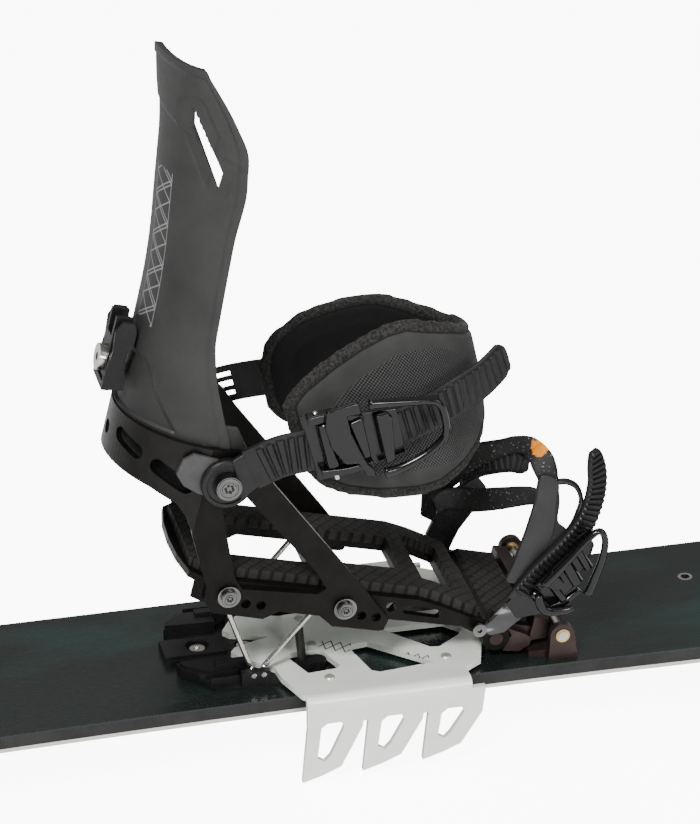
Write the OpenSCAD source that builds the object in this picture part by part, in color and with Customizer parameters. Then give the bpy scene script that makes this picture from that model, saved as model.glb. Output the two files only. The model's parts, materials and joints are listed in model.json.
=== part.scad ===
// One half of a splitboard, set up as a touring ski.
// The board half carries a toe pivot bracket and a heel rest. A soft-boot binding turns on the
// bracket, its heel held up on a climbing wire, and an aluminium ski crampon straddles the board.
// Row frame: origin at the middle of the board's base, +X to the tip, +Y to the split edge, +Z up.

$fn = 48;

/* [Board] */
// Overall length of the board half
board_len = 1600; // [1480:10:1680]
// Width of the half at its waist
half_width = 134; // [126:1:140]
// Overall thickness, base to topsheet
board_t = 12; // [11:0.5:13]
// Radius of the outer edge's sidecut
sidecut_r = 8000; // [7000:100:10000]
// Height that the tip rises above the flat base
tip_rise = 45; // [30:1:60]
// Height that the tail rises above the flat base
tail_rise = 28; // [20:1:40]

/* [Toe pivot] */
// Distance of the toe pivot ahead of the board's middle
pivot_x = 126; // [110:1:134]
// Height of the toe pivot above the topsheet
pivot_rise = 17.3; // [17:0.1:19]
// Pitch of the binding, heel up, when it stands on the climbing wire
tour_pitch = 14; // [13:0.5:14]

/* [Binding] */
// Half width of the baseplate over its rails
rail_y = 52; // [50:0.5:53]
// Distance from the toe pivot back to the baseplate's heel end
base_len = 255; // [250:1:258]
// Radius of the heel hoop, outside
hoop_r = 58; // [57:0.5:58]
// Height of the highback above the pivot line
highback_top = 335; // [300:5:360]

/* [Crampon] */
// Thickness of the crampon sheet
crampon_t = 4; // [3.5:0.1:4]
// Half width of the crampon over its teeth
crampon_y = 84; // [82:0.5:86]
// Depth of the rear teeth below the topsheet
tooth_depth = 55; // [50:1:60]

/* [Hidden] */

// Board layers, from the base up
edge_y = half_width / 2;
edge_h = 2.8;
edge_w = 2.2;
base_h = 1.2;
wall_w = 7;
top_h = 1.2;
waist_x = 20;
nose_x = 640;
flat_x = 620;
edge_depth = (nose_x + waist_x) * (nose_x + waist_x) / (2 * sidecut_r);
side_run = board_len / 2 - half_width - 30;
insert_pitch = 25.4;
insert_x = pivot_x + 112;
insert_y = 22;
insert_bore = 3;
insert_depth = 9;

// Toe bracket and pivot
pivot_z = board_t + pivot_rise;
pin_r = 3.2;
bush_r = 4.6;
ear_y0 = 57.5;
ear_y1 = 62.5;
fit = 0.05;
gap = 0.3;

// Rail and ramp, measured back from the pivot and up from the pivot line
rail_t = 5;
web_top = 9.5;
web_t = 4.5;
rivet_u = 40;
rivet_v = -12.3;
rivet_r = 3.5;
arm_t = 4.6;
bolt_v = -5.8;
bolt_r = 3;
bolt_us = [225, 148];
hole_us = [212.5, 202.5, 135.5, 125.5];

// Heel hoop and ankle strap
hoop_t = 4.5;
hoop_u = base_len - 2;
hoop_v1 = 100;
arm_end_u = 258;
boss_u = 246;
boss_v = 81;
strap_tilt = 30;
ladder_w = 23.5;

// Toe strap
toe_u = 50;
toe_v = 3;
toe_lean = 11;

// Climbing wires, measured from the pivot in the row's own directions
wire_r = 1.8;
wire_y = 42.5;
high_x = -201;
low_x = -194.5;
wire_z = 8.5;
high_reach = 70.9;
high_tilt = 108.4;
low_reach = 65.8;
low_tilt = 48.4;

// Crampon hinge rod
rod_x = -26;
rod_z = 7;
rod_r = 2.5;

// ---------- shared shapes ----------

// Draws its children once on each side of the centreline
module both_sides() {
    children();
    mirror([0, 1, 0]) children();
}

// Extrudes an outline given in X and Z from y0 to y1
module slab_y(y0, y1) {
    translate([0, y1, 0]) rotate([90, 0, 0]) linear_extrude(y1 - y0) children();
}

// A round bar along Y
module rod_y(x, z, y0, y1, r) {
    translate([x, y1, z]) rotate([90, 0, 0]) cylinder(h = y1 - y0, r = r);
}

// A round bar between two points
module bar(a, b, r) {
    d = b - a;
    len = norm(d);
    translate(a) rotate([0, acos(d[2] / len), atan2(d[1], d[0])]) cylinder(h = len, r = r);
}

// A slot outline with round ends between two points
module slot_outline(a, b, r) {
    d = b - a;
    translate(a) circle(r = r);
    translate(b) circle(r = r);
    translate(a) rotate(atan2(d[1], d[0])) translate([0, -r]) square([norm(d), 2 * r]);
}

// Turns points given as (distance back from the pivot, height) into X and Z
function back(points) = [for (p = points) [-p[0], p[1]]];

module on_pivot() {
    translate([pivot_x, 0, board_t]) children();
}

module on_binding() {
    translate([pivot_x, 0, pivot_z]) rotate([0, tour_pitch, 0]) children();
}

// X runs up along the ankle strap, Z across it
module on_ankle() {
    on_binding() translate([-boss_u, 0, boss_v]) rotate([0, -strap_tilt, 0]) children();
}

// Z runs up along the toe strap, X forward across it
module on_toe() {
    on_binding() translate([-toe_u, 0, toe_v]) rotate([0, toe_lean, 0]) children();
}

// ---------- board ----------

// How far the outer edge has moved out from the waist at x
function sidecut(x) = (x - waist_x) * (x - waist_x) / (2 * sidecut_r);
// Corner radius of the tip or the tail, which takes up the full width there
function end_r(side) = half_width + sidecut(side * nose_x);
// Quarter circle at one end, from the outer edge round to the split edge
function end_arc(side, inset) =
    let (r = end_r(side), stop = asin(inset / (r - inset)))
    [for (k = [0:16]) let (t = 90 + (stop - 90) * k / 16)
        [side * (board_len / 2 - r + (r - inset) * cos(t)), edge_y - (r - inset) * sin(t)]];

// Half-board outline, shrunk by inset on every side
module board_outline(inset) {
    tail = end_arc(-1, inset);
    polygon(concat(
        [for (k = [0:24]) let (x = side_run * (k / 12 - 1)) [x, inset - edge_y - sidecut(x)]],
        end_arc(1, inset),
        [for (k = [16:-1:0]) tail[k]]
    ));
}

// Side view of a layer from z0 to z1, with the tip and the tail bent up on arcs
module layer_profile(z0, z1) {
    reach = board_len / 2 - flat_x;
    translate([-flat_x, z0]) square([2 * flat_x, z1 - z0]);
    for (end = [[1, tip_rise], [-1, tail_rise]]) {
        r = (reach * reach + end[1] * end[1]) / (2 * end[1]);
        intersection() {
            translate([end[0] * flat_x, r]) difference() {
                circle(r = r - z0, $fn = 360);
                circle(r = r - z1, $fn = 360);
            }
            translate([end[0] > 0 ? flat_x : -flat_x - reach - 20, -1]) square([reach + 20, r]);
        }
    }
}

module board_layer(z0, z1, inset) {
    intersection() {
        translate([0, 0, -1]) linear_extrude(tip_rise + 2 * board_t) board_outline(inset);
        slab_y(-edge_y - edge_depth - 5, edge_y + 5) layer_profile(z0, z1);
    }
}

module insert_places() {
    for (side = [-1, 1], i = [0:5])
        translate([side * (insert_x + i * insert_pitch), insert_y, 0]) children();
}

module insert_pockets() {
    insert_places() translate([0, 0, board_t - 10]) cylinder(h = 11, r = 5);
}

module core() color("burlywood") difference() {
    board_layer(base_h, board_t - top_h, wall_w);
    insert_pockets();
}

module topsheet() color([0.07, 0.10, 0.09]) difference() {
    board_layer(board_t - top_h, board_t, 0);
    insert_pockets();
}

module base_sheet() color([0.1, 0.1, 0.1]) board_layer(0, base_h, edge_w);

module steel_edge() color("silver") difference() {
    board_layer(0, edge_h, 0);
    board_layer(-1, base_h, edge_w);
    board_layer(base_h, edge_h + 1, wall_w);
}

module sidewall() color([0.2, 0.2, 0.2]) difference() {
    board_layer(edge_h, board_t - top_h, 0);
    board_layer(edge_h - 1, board_t - top_h + 1, wall_w);
}

module ride_inserts() color("silver") insert_places() translate([0, 0, board_t - 10])
    difference() {
        cylinder(h = 10, r = 5);
        translate([0, 0, 10 - insert_depth]) cylinder(h = insert_depth + 1, r = insert_bore);
    }

// ---------- toe bracket ----------

module toe_bracket() color([0.26, 0.21, 0.19]) on_pivot() {
    difference() {
        union() {
            translate([-21, -57, 0]) cube([31.5, 114, 5]);
            both_sides() slab_y(ear_y0, ear_y1) {
                polygon([[-9, 0], [10.5, 0], [8.1, pivot_rise], [-8.1, pivot_rise]]);
                translate([0, pivot_rise]) circle(r = 8.1);
            }
            both_sides() translate([-9, 56, 0]) cube([19.5, 2, 5]);
            both_sides() for (y0 = [12, 30]) slab_y(y0, y0 + 7) {
                translate([rod_x, rod_z]) circle(r = 5);
                polygon([[rod_x, rod_z - 5.0], [-20, 0.5], [-20, 5], [rod_x, rod_z + 5]]);
            }
        }
        both_sides() rod_y(0, pivot_rise, ear_y0 - 1, ear_y1 + 1, bush_r);
        rod_y(rod_x, rod_z, -60, 60, rod_r);
        both_sides() for (x = [-13, 3]) translate([x, 36, -1]) cylinder(h = 8, r = 4.6);
        translate([-40, -60, -20]) cube([60, 120, 20]);
    }
}

module pivot_bushings() color([0.80, 0.62, 0.30]) on_pivot() both_sides() difference() {
    rod_y(0, pivot_rise, ear_y0, ear_y1 + 0.6, bush_r);
    rod_y(0, pivot_rise, ear_y0 - 1, ear_y1 + 2, pin_r);
}

module pivot_pins() color("silver") on_pivot() both_sides() {
    rod_y(0, pivot_rise, 40, ear_y1 + 1.2, pin_r);
}

module bracket_screws() color([0.15, 0.15, 0.15]) on_pivot() both_sides() for (x = [-13, 3])
    translate([x, 36, 0]) difference() {
        cylinder(h = 5, r = 4.6);
        translate([0, 0, 3]) cylinder(h = 3, r = 2, $fn = 6);
    }

module crampon_rod() color("silver") on_pivot() rod_y(rod_x, rod_z, -38, 38, rod_r);

// ---------- heel rest ----------

// Half outline of the heel rest's wing
module rest_wing() {
    polygon([[-212, 20], [-246, 22], [-244, 30], [-228, 46], [-208, 46]]);
}

module heel_rest() color([0.09, 0.09, 0.09]) on_pivot() difference() {
    union() {
        linear_extrude(2) polygon([
            [-244, -28], [-226, -50], [-183, -51.5], [-183, 51.5], [-226, 50], [-244, 28]
        ]);
        translate([-251, -11, 0]) cube([40.5, 22, 6]);
        translate([-251, -13.5, 0]) cube([40, 27, 4]);
        both_sides() {
            linear_extrude(7.5) rest_wing();
            translate([0, 0, 7]) linear_extrude(2.5)
                polygon([[-212, 21.5], [-244.5, 23.5], [-242.5, 29], [-230, 37.5], [-212, 38]]);
            translate([-223, 30.5, 0]) cube([20, 6, 12]);
            translate([-209, 46, 0]) cube([18.5, 5, 11.3]);
        }
        translate([-197, 0, 0]) cylinder(h = 2.2, r = 11);
    }
    for (x = [-228, -197]) translate([x, 0, -1]) cylinder(h = 12, r = 3);
    translate([-228, 0, 3]) cylinder(h = 8, r = 7.6);
    translate([-197, 0, 1.2]) cylinder(h = 8, r = 6.5);
    both_sides() {
        translate([-260, wire_y - 2.9, 4.5]) cube([76, 5.8, 12]);
        rod_y(high_x, wire_z, 44, 53, wire_r + fit);
        rod_y(low_x, wire_z, 44, 53, wire_r + fit);
    }
}

module heel_rest_screws() color("silver") on_pivot() for (p = [[-228, 3], [-197, 1.2]])
    translate([p[0], 0, 0]) {
        cylinder(h = p[1], r = 3);
        translate([0, 0, p[1]]) difference() {
            cylinder(h = 1, r1 = 5.8, r2 = 5);
            translate([0, 0, 0.2]) cylinder(h = 2, r = 2, $fn = 6);
        }
    }

module wire_keepers() color([0.06, 0.06, 0.06]) on_pivot() both_sides() difference() {
    union() {
        linear_extrude(6) difference() {
            union() {
                translate([-156.5, 35]) circle(r = 6);
                translate([-165, 35]) circle(r = 6);
                translate([-165, 29]) square([8.5, 12]);
            }
            translate([-157.5, 42]) circle(r = 3.4);
        }
        translate([-165.8, 35, 3]) rotate([0, -5.5, 0]) cylinder(h = 28, r = 2.8);
    }
    translate([-180, 20, -10]) cube([40, 30, 10]);
}

// ---------- baseplate ----------

// Outline of a rail, seen from the side
rail_points = [
    [base_len, -7], [66, -6.2], [49, -12.3], [31, -12.3], [36, -4.2], [53, -1.6],
    [83, 6.6], [98, web_top], [base_len, web_top]
];

// Outline of the web that joins the rails, seen from the side
web_points = [
    [base_len, web_top - web_t], [98.6, web_top - web_t], [56, -6.4], [53, -1.6],
    [83, 6.6], [98, web_top], [base_len, web_top]
];

// Plan outline of the baseplate, with its rounded heel end
module base_windows() {
    // heel window, arch windows and toe window
    for (w = [[236, 166, 27], [156, 104, 22], [92, 66, 30]])
        translate([-w[0], -w[2], -20]) cube([w[0] - w[1], 2 * w[2], 60]);
}

module baseplate() color([0.13, 0.11, 0.10]) on_binding() difference() {
    union() {
        intersection() {
            union() {
                both_sides() slab_y(rail_y - rail_t, rail_y) polygon(back(rail_points));
                slab_y(-rail_y, rail_y) polygon(back(web_points));
            }
            translate([0, 0, -40]) linear_extrude(80) {
                translate([-238, -rail_y]) square([238, 2 * rail_y]);
                both_sides() polygon([
                    [-237, -1], [-237, rail_y], [-241, rail_y], [-250, 44], [-254, 22],
                    [-base_len, 0], [-base_len, -1]
                ]);
            }
        }
        both_sides() rod_y(-rivet_u, rivet_v, rail_y - rail_t, rail_y, 9);
    }
    base_windows();
    both_sides() {
        rod_y(-rivet_u, rivet_v, 40, 60, rivet_r);
        rod_y(-115.8, 2.3, 40, 60, 3.4);
        slab_y(40, 60) slot_outline([-104.5, 1.6], [-84.5, 1.0], 3);
        for (u = bolt_us) rod_y(-u, bolt_v + 7, 40, 60, bolt_r);
        rod_y(-55, -4.8, 40, 60, 2);
    }
}

// Plan outline of one foot pad around its windows
module pad_prism(u0, u1, v0, v1) {
    translate([-u1, -46, v0]) cube([u1 - u0, 92, v1 - v0]);
}

module heel_footpad() color([0.16, 0.15, 0.13]) on_binding() difference() {
    pad_prism(160, 249, web_top, web_top + 6);
    base_windows();
    for (side = [-1, 1]) translate([-249, side * 46, web_top - 1])
        rotate([0, 0, 45]) cube([14, 14, 20], center = true);
}

module toe_footpad() color([0.16, 0.15, 0.13]) on_binding() difference() {
    slab_y(-46, 46) polygon(back([
        [158, web_top], [98, web_top], [83, 6.6], [54.5, -1.1], [54.5, 5],
        [83, 12.8], [98, web_top + 6], [158, web_top + 6]
    ]));
    base_windows();
}

// ---------- heel hoop and side arms ----------

module hoop_slots() {
    // slots are cut along the radius, at two places on each side
    for (s = [[61, [-8.5, 86.6], [8.5, 83], 4.8], [27, [-9, 79.6], [11, 72.6], 5]])
        translate([-hoop_u, 0, 0]) rotate([0, 0, -s[0]]) slab_y(-90, -30) {
            slot_outline([s[1][0], s[1][1]], [s[2][0], s[2][1]], s[3]);
        }
}

module heel_hoop() color([0.30, 0.27, 0.24]) on_binding() difference() {
    intersection() {
        difference() {
            translate([-hoop_u, 0, 40]) cylinder(h = 80, r = hoop_r, $fn = 96);
            translate([-hoop_u, 0, 30]) cylinder(h = 100, r = hoop_r - hoop_t, $fn = 96);
        }
        slab_y(-70, 70) polygon(back([
            [arm_end_u, hoop_v1], [arm_end_u, 42], [264, 52], [272, 60], [289, 65], [315, 68],
            [315, hoop_v1]
        ]));
    }
    both_sides() hoop_slots();
    translate([-hoop_u - hoop_r - 5, 0, 82]) rotate([0, 90, 0]) cylinder(h = 20, r = 4.5);
}

arm_points = [
    [117, -4], [118.5, -12], [122, -13], [153, -13], [163, -6.5], [190, -6.5], [199, -12.8],
    [233, -12], [240, -4], [240, 4.4], [arm_end_u, 41], [arm_end_u, hoop_v1], [238, hoop_v1],
    [226, 93], [214.5, 81.6], [139.8, 17.1]
];
arm_window = [
    [224, 14], [217, 6.5], [168, 8.5], [163, 13], [174, 25.5], [229, 70], [240, 70], [243, 61]
];

module side_arm() color([0.16, 0.13, 0.12]) on_binding() difference() {
    slab_y(rail_y + fit, rail_y + fit + arm_t) difference() {
        polygon(back(arm_points));
        polygon(back(arm_window));
        for (u = hole_us) translate([-u, -3.5]) circle(r = 3.1);
        for (u = bolt_us) translate([-u, bolt_v + 7]) circle(r = bolt_r);
    }
    rod_y(-boss_u, boss_v, 40, 70, 4);
}

module side_arm_left() side_arm();
module side_arm_right() mirror([0, 1, 0]) side_arm();

module arm_bolts() color("silver") on_binding() both_sides() for (u = bolt_us) {
    rod_y(-u, bolt_v + 7, rail_y - rail_t - 1.5, rail_y + fit + arm_t, bolt_r);
    difference() {
        union() {
            rod_y(-u, bolt_v + 7, rail_y + fit + arm_t, rail_y + arm_t + 2.5, 7.4);
            rod_y(-u, bolt_v + 7, rail_y + arm_t + 2.5, rail_y + arm_t + 5, 5.4);
        }
        translate([-u, 0, bolt_v + 7]) rotate([-90, 0, 0])
            translate([0, 0, rail_y + arm_t + 2.6]) cylinder(h = 4, r = 2.4, $fn = 6);
    }
}

module strap_mount_plates() color([0.33, 0.33, 0.33]) on_binding() both_sides() difference() {
    slab_y(hoop_r + 0.1, hoop_r + 2.6) {
        translate([-boss_u, boss_v]) circle(r = 14);
        polygon(back([
            [boss_u, 68], [262, 71], [272, 75], [278, 82], [276, 92], [270, 97], [boss_u, 94]
        ]));
    }
    rod_y(-boss_u, boss_v, 50, 70, 4);
}

module ankle_bolts() color("silver") on_binding() both_sides() {
    rod_y(-boss_u, boss_v, rail_y - 5.5, 68, 4 - fit);
    difference() {
        rod_y(-boss_u, boss_v, 67, 70.5, 8);
        translate([-boss_u, 67.6, boss_v]) rotate([-90, 0, 0]) cylinder(h = 4, r = 3, $fn = 6);
    }
    rod_y(-boss_u, boss_v, rail_y - 5.5, rail_y - 3.5, 7);
}

module ramp_rivets() color([0.35, 0.32, 0.30]) on_binding() both_sides() {
    rod_y(-rivet_u, rivet_v, 41, rail_y, rivet_r);
    rod_y(-rivet_u, rivet_v, rail_y, rail_y + 1.2, 4.4);
}

module toe_strap_bolts() color("silver") on_binding() both_sides() {
    rod_y(-55, -4.8, rail_y - rail_t, 57, 2);
    difference() {
        rod_y(-55, -4.8, 56.5, 58.6, 4.6);
        translate([-55, 57.2, -4.8]) rotate([-90, 0, 0]) cylinder(h = 4, r = 1.8, $fn = 6);
    }
}

// ---------- snap ramp ----------

module snap_ramp() color([0.22, 0.18, 0.16]) on_binding() difference() {
    union() {
        both_sides() {
            slab_y(41.5, 46.7) polygon(back([
                [48, -8], [46, -19], [36, -20.5], [22, -18.5], [14, -14], [5, -12], [5, -4],
                [46, -3.5]
            ]));
            slab_y(46.6, rail_y) difference() {
                polygon(back([
                    [33, -20.8], [22, -20], [16, -14.5], [15.8, -9.8], [20, -7.5], [34, -4.3],
                    [30, -9]
                ]));
                translate([-rivet_u, rivet_v]) circle(r = 9.3);
            }
        }
        slab_y(-43, 43) polygon(back([
            [18, -3.8], [5, -3.4], [-4, 4], [-7, 0], [-6, -6], [0, -10.5], [14, -14], [18, -14]
        ]));
        slab_y(-50, 50) polygon(back([[17, 4.5], [7, 4.5], [5, -9], [16.5, -12.5]]));
        slab_y(-43, 43) polygon(back([[46, -3.6], [46, -7.4], [10, -8], [10, -4]]));
    }
    both_sides() {
        rod_y(-rivet_u, rivet_v, 35, 60, rivet_r + fit);
        rod_y(0, 0, 39.7, 60, pin_r + fit);
        // the mouth that the pivot pins pass through when the ramp is lifted
        slab_y(39.7, 60) intersection() {
            translate([-rivet_u, rivet_v]) difference() {
                circle(r = norm([rivet_u, rivet_v]) + pin_r + fit);
                circle(r = norm([rivet_u, rivet_v]) - pin_r - fit);
            }
            translate([-12, -30]) square([24, 30]);
        }
    }
}

module ramp_pad() color([0.16, 0.15, 0.13]) on_binding() slab_y(-43, 43)
    polygon(back([[47, -3.3], [19, -3.5], [19, 2.2], [44, 2.6], [47, 1]]));

// ---------- climbing wires ----------

// A bail with two legs that turn outwards into the heel rest, and a bar across the top.
// It is drawn lying along X from the heel-rest holes, then leaned back by the tilt.
module bail(foot, reach, tilt) {
    bend = 5;
    translate([foot[0], 0, foot[1]]) rotate([0, -tilt, 0]) {
        both_sides() {
            rod_y(0, 0, wire_y + 2 * wire_r, 50.5, wire_r);
            translate([2 * wire_r, wire_y + 2 * wire_r, 0]) rotate([0, 0, 180])
                rotate_extrude(angle = 90) translate([2 * wire_r, 0]) circle(r = wire_r);
            translate([2 * wire_r, wire_y, 0]) rotate([0, 90, 0])
                cylinder(h = reach - bend - 2 * wire_r, r = wire_r);
            translate([reach - bend, wire_y - bend, 0])
                rotate_extrude(angle = 90) translate([bend, 0]) circle(r = wire_r);
        }
        rod_y(reach, 0, bend - wire_y, wire_y - bend, wire_r);
    }
}

module high_climbing_wire() color([0.72, 0.68, 0.64]) on_pivot()
    bail([high_x, wire_z], high_reach, high_tilt);

module low_climbing_wire() color([0.72, 0.68, 0.64]) on_pivot()
    bail([low_x, wire_z], low_reach, low_tilt);

// ---------- crampon ----------

bend_r = 6;
plate_z = 6.5;

// Half plan of the plate, from the centreline out to the bend
module plate_plan() {
    difference() {
        polygon([
            [-180, 0], [-205, 9], [-208.5, 14], [-202, 25], [-185.5, 40], [-184, 53],
            [-176, 76], [-174, 80], [-66, 80], [-66, 68], [-54, 60], [-50, 47], [-48, 40],
            [-48, 0]
        ]);
        // window beside the wire keepers
        polygon([[-176, 26], [-168, 24], [-152, 25], [-144, 47], [-147, 50], [-166, 52]]);
        // long window
        polygon([[-134, 24], [-120, 22], [-84, 57], [-121, 61], [-126, 58]]);
        // front window
        polygon([[-108, 8], [-66, 8], [-56, 20], [-60, 27], [-76, 39], [-82, 38]]);
    }
}

// The teeth, seen from the side: X against depth below the topsheet
function tooth(x0, depth) = [
    [x0 + 1.5, 0], [x0 - 3.4, -depth], [x0 + 10, -depth + 4], [x0 + 22, -depth + 9],
    [x0 + 36, -18], [x0 + 38, 0]
];
teeth = [[-174, tooth_depth], [-134.5, tooth_depth - 3.5], [-95, tooth_depth - 6]];

module crampon() color([0.80, 0.83, 0.78]) on_pivot() difference() {
    union() {
        translate([0, 0, plate_z - crampon_t]) linear_extrude(crampon_t) {
            intersection() {
                union() {
                    plate_plan();
                    mirror([0, 1]) plate_plan();
                }
                translate([-250, -crampon_y + bend_r]) square([250, 2 * crampon_y - 2 * bend_r]);
            }
        }
        both_sides() {
            // rounded shoulder
            translate([-174, crampon_y - bend_r, plate_z - bend_r]) rotate([90, 0, 90])
                linear_extrude(108) intersection() {
                    difference() {
                        circle(r = bend_r, $fn = 64);
                        circle(r = bend_r - crampon_t, $fn = 64);
                    }
                    square(bend_r);
                }
            // side flange with its teeth
            slab_y(crampon_y - crampon_t, crampon_y) difference() {
                union() {
                    translate([-174, -14]) square([108, 14 + plate_z - bend_r]);
                    for (t = teeth) polygon(tooth(t[0], t[1]));
                    polygon([[-68, 0], [-66, 0], [-69, -14], [-76, -30], [-82, -30]]);
                }
                for (t = teeth) polygon([
                    [t[0] + 9, -16], [t[0] + 6.5, -t[1] + 17], [t[0] + 11, -t[1] + 14],
                    [t[0] + 15, -t[1] + 18], [t[0] + 24, -17], [t[0] + 22, -13], [t[0] + 13, -13]
                ]);
            }
        }
        // hinge tongue and eyes
        translate([-50, -27, plate_z - crampon_t]) cube([22, 54, crampon_t]);
        both_sides() slab_y(19.4, 29.6) {
            translate([rod_x, rod_z]) circle(r = 5);
            polygon([[-31, 2.5], [rod_x, rod_z - 5], [rod_x, rod_z + 5], [-31, 6.5]]);
        }
    }
    rod_y(rod_x, rod_z, -40, 40, rod_r + fit);
    both_sides() translate([-31.5, 11.3, 0]) cube([20, 8, 20]);
    both_sides() translate([-31.5, -1, 0]) cube([20, 12.5, 20]);
}

module crampon_rivets() color([0.84, 0.86, 0.82]) on_pivot() both_sides()
    for (p = [[-154, 60], [-75, 52], [-156, 17]])
        translate([p[0], p[1], plate_z]) cylinder(h = 1, r1 = 3.6, r2 = 2.8);

// ---------- highback ----------

// Distance back from the pivot of the spine, by height
function spine_u(v) = lookup(v, [[101, 311], [130, 309], [200, 309], [300, 324], [335, 337]]);
// Distance back from the pivot of the outer side's edge, by height
function wing_u(v) = lookup(v, [
    [101, 246], [118, 254], [142, 264], [165, 270], [235, 273], [262, 272], [290, 277],
    [312, 293], [330, 309], [335, 314]
]);
// The inner side is lower and its edge stays further back
function inner_u(v) = lookup(v, [
    [101, 246], [118, 254], [142, 264], [200, 284], [240, 295], [290, 299], [312, 312]
]);
// Half width at the two edges, by height
function wing_y(v) = lookup(v, [[101, 54], [150, 50], [210, 47], [280, 47], [335, 41]]);
function inner_y(v) = lookup(v, [[101, 54], [150, 50], [210, 44], [280, 34], [335, 24]]);
inner_drop = 23;
shell_t = 3.2;
shell_rows = 18;
shell_cols = 16;
// A point of the shell: row i, a from -1 at the outer edge to 1 at the inner, d is the depth inwards
function shell_point(i, a, d) =
    let (v = 101 + (highback_top - inner_drop * max(0, a) - 101) * i / shell_rows)
    let (e = a < 0 ? wing_u(v) : inner_u(v), w = a < 0 ? wing_y(v) : inner_y(v))
    let (b = spine_u(v) - e, t = 90 * a)
    [-(e + (b - d) * cos(t)), (w - d) * sin(t), v];
shell_loop = concat(
    [for (j = [0:shell_cols]) [-1 + 2 * j / shell_cols, 0]],
    [for (j = [shell_cols:-1:0]) [-1 + 2 * j / shell_cols, shell_t]]
);
loop_n = 2 * (shell_cols + 1);

function shell_ring(i, j) = i * loop_n + j % loop_n;
module highback_shell() polyhedron(
    points = [for (i = [0:shell_rows], p = shell_loop) shell_point(i, p[0], p[1])],
    faces = concat(
        [for (i = [0:shell_rows - 1], j = [0:loop_n - 1], k = [0, 1]) k == 0
            ? [shell_ring(i, j), shell_ring(i, j + 1), shell_ring(i + 1, j + 1)]
            : [shell_ring(i, j), shell_ring(i + 1, j + 1), shell_ring(i + 1, j)]],
        [for (j = [0:shell_cols - 1], k = [0, 1]) k == 0
            ? [j + 1, j, loop_n - 1 - j]
            : [j + 1, loop_n - 1 - j, loop_n - 2 - j]],
        [for (j = [0:shell_cols - 1], k = [0, 1]) let (t = shell_rows * loop_n) k == 0
            ? [t + j, t + j + 1, t + loop_n - 1 - j]
            : [t + j + 1, t + loop_n - 2 - j, t + loop_n - 1 - j]]
    ),
    convexity = 6
);

module highback() color([0.17, 0.17, 0.17]) on_binding() difference() {
    union() {
        highback_shell();
        // lower ears that reach down inside the hoop to the ankle bolts
        both_sides() slab_y(rail_y - 3.3, rail_y - 0.3) {
            translate([-boss_u, boss_v]) circle(r = 12);
            polygon(back([[234, boss_v], [236, 101], [244, 112], [262, 112], [262, 96], [258, boss_v]]));
        }
        // rib on the spine that the lean block slides on
        translate([-316, -5, 106]) cube([10, 10, 62]);
    }
    both_sides() rod_y(-boss_u, boss_v, 40, 60, 4);
    slab_y(-70, -15) polygon(back([[313.5, 309], [289.5, 274], [290, 263.5], [311.5, 298]]));
}

module highback_screws() color([0.2, 0.2, 0.2]) on_binding() both_sides()
    rod_y(-boss_u, boss_v, rail_y - 8.5, rail_y - 5.5, 6);

lean_pin_r = 1.5;

module lean_block() color([0.08, 0.08, 0.08]) on_binding() difference() {
    union() {
        translate([-323, -9, 118]) cube([11, 18, 41]);
        translate([-318, -11, 112]) cube([6, 22, 44]);
        bar([-316, -14.4, 153], [-316, 14.4, 153], lean_pin_r);
    }
    translate([-317, -5.2, 100]) cube([12, 10.4, 80]);
    translate([-330, 0, 128]) rotate([0, 90, 0]) cylinder(h = 30, r = 3);
    translate([-325, -5.5, 145]) cube([9, 11, 20]);
}

module lean_screw() color("silver") on_binding() {
    translate([-323, 0, 128]) rotate([0, 90, 0]) cylinder(h = 6.8, r = 3);
    translate([-327.5, 0, 128]) rotate([0, 90, 0]) difference() {
        cylinder(h = 4.5, r = 8.5);
        translate([0, 0, -1]) cylinder(h = 3, r = 3, $fn = 6);
    }
}

module lean_lever() color([0.1, 0.1, 0.1]) on_binding() {
    both_sides() slab_y(11.4, 14.4) difference() {
        polygon(back([
            [323, 151], [320, 158], [312, 158], [309.8, 152], [310, 143], [313, 138], [314, 133],
            [312, 124], [309.8, 119], [310, 113], [324, 112], [324, 120], [322, 138]
        ]));
        translate([-316, 153]) circle(r = lean_pin_r + fit, $fn = 32);
    }
    slab_y(-14.4, 14.4) polygon(back([[319.5, 112], [324, 112], [324, 116.5], [319.5, 116.5]]));
}

// ---------- ankle strap ----------

// Outline of the free side of the ankle pad, along and across the strap
pad_outline = [
    [48, -18], [60, -38], [76, -54], [98, -63], [135, -67], [168, -50], [184, -10],
    [186, 14], [160, 34], [130, 46], [88, 42], [62, 30], [48, 12]
];

module ladder_plan(y0) {
    // strap seen along its width: straight, then bent over the instep
    translate([0, -y0 - 4]) square([110, 4]);
    intersection() {
        translate([110, 120 - y0]) difference() {
            circle(r = 124, $fn = 180);
            circle(r = 120, $fn = 180);
        }
        translate([109.5, -y0 - 5]) square([84, 50]);
    }
}

module ankle_ladder() color([0.10, 0.10, 0.10]) on_ankle() difference() {
    union() {
        translate([0, 0, -ladder_w / 2]) linear_extrude(ladder_w) ladder_plan(63);
        rod_y(0, 0, -67, -61, 15.9);
    }
    rod_y(0, 0, -80, -50, 4);
    // teeth on the outer face
    for (i = [0:13]) translate([26 + 5.6 * i, -69.4, -ladder_w])
        rotate([0, 0, 45]) cube([3.4, 3.4, 2 * ladder_w]);
    for (i = [0:11]) translate([110, 57, -ladder_w]) rotate([0, 0, -90 + 6 + 3 * i])
        translate([126.2, 0, 0]) rotate([0, 0, 45]) cube([3.4, 3.4, 2 * ladder_w]);
}

module ankle_far_strap() color([0.08, 0.08, 0.08]) on_ankle() difference() {
    union() {
        translate([0, 61.2, -14]) cube([47, 3.6, 28]);
        rod_y(0, 0, 61.2, 66, 15.9);
    }
    rod_y(0, 0, 50, 80, 4);
    for (z = [-6.5, 0, 6.5]) translate([27, 60, z - 2.2]) cube([10, 8, 4.4]);
}

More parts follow.
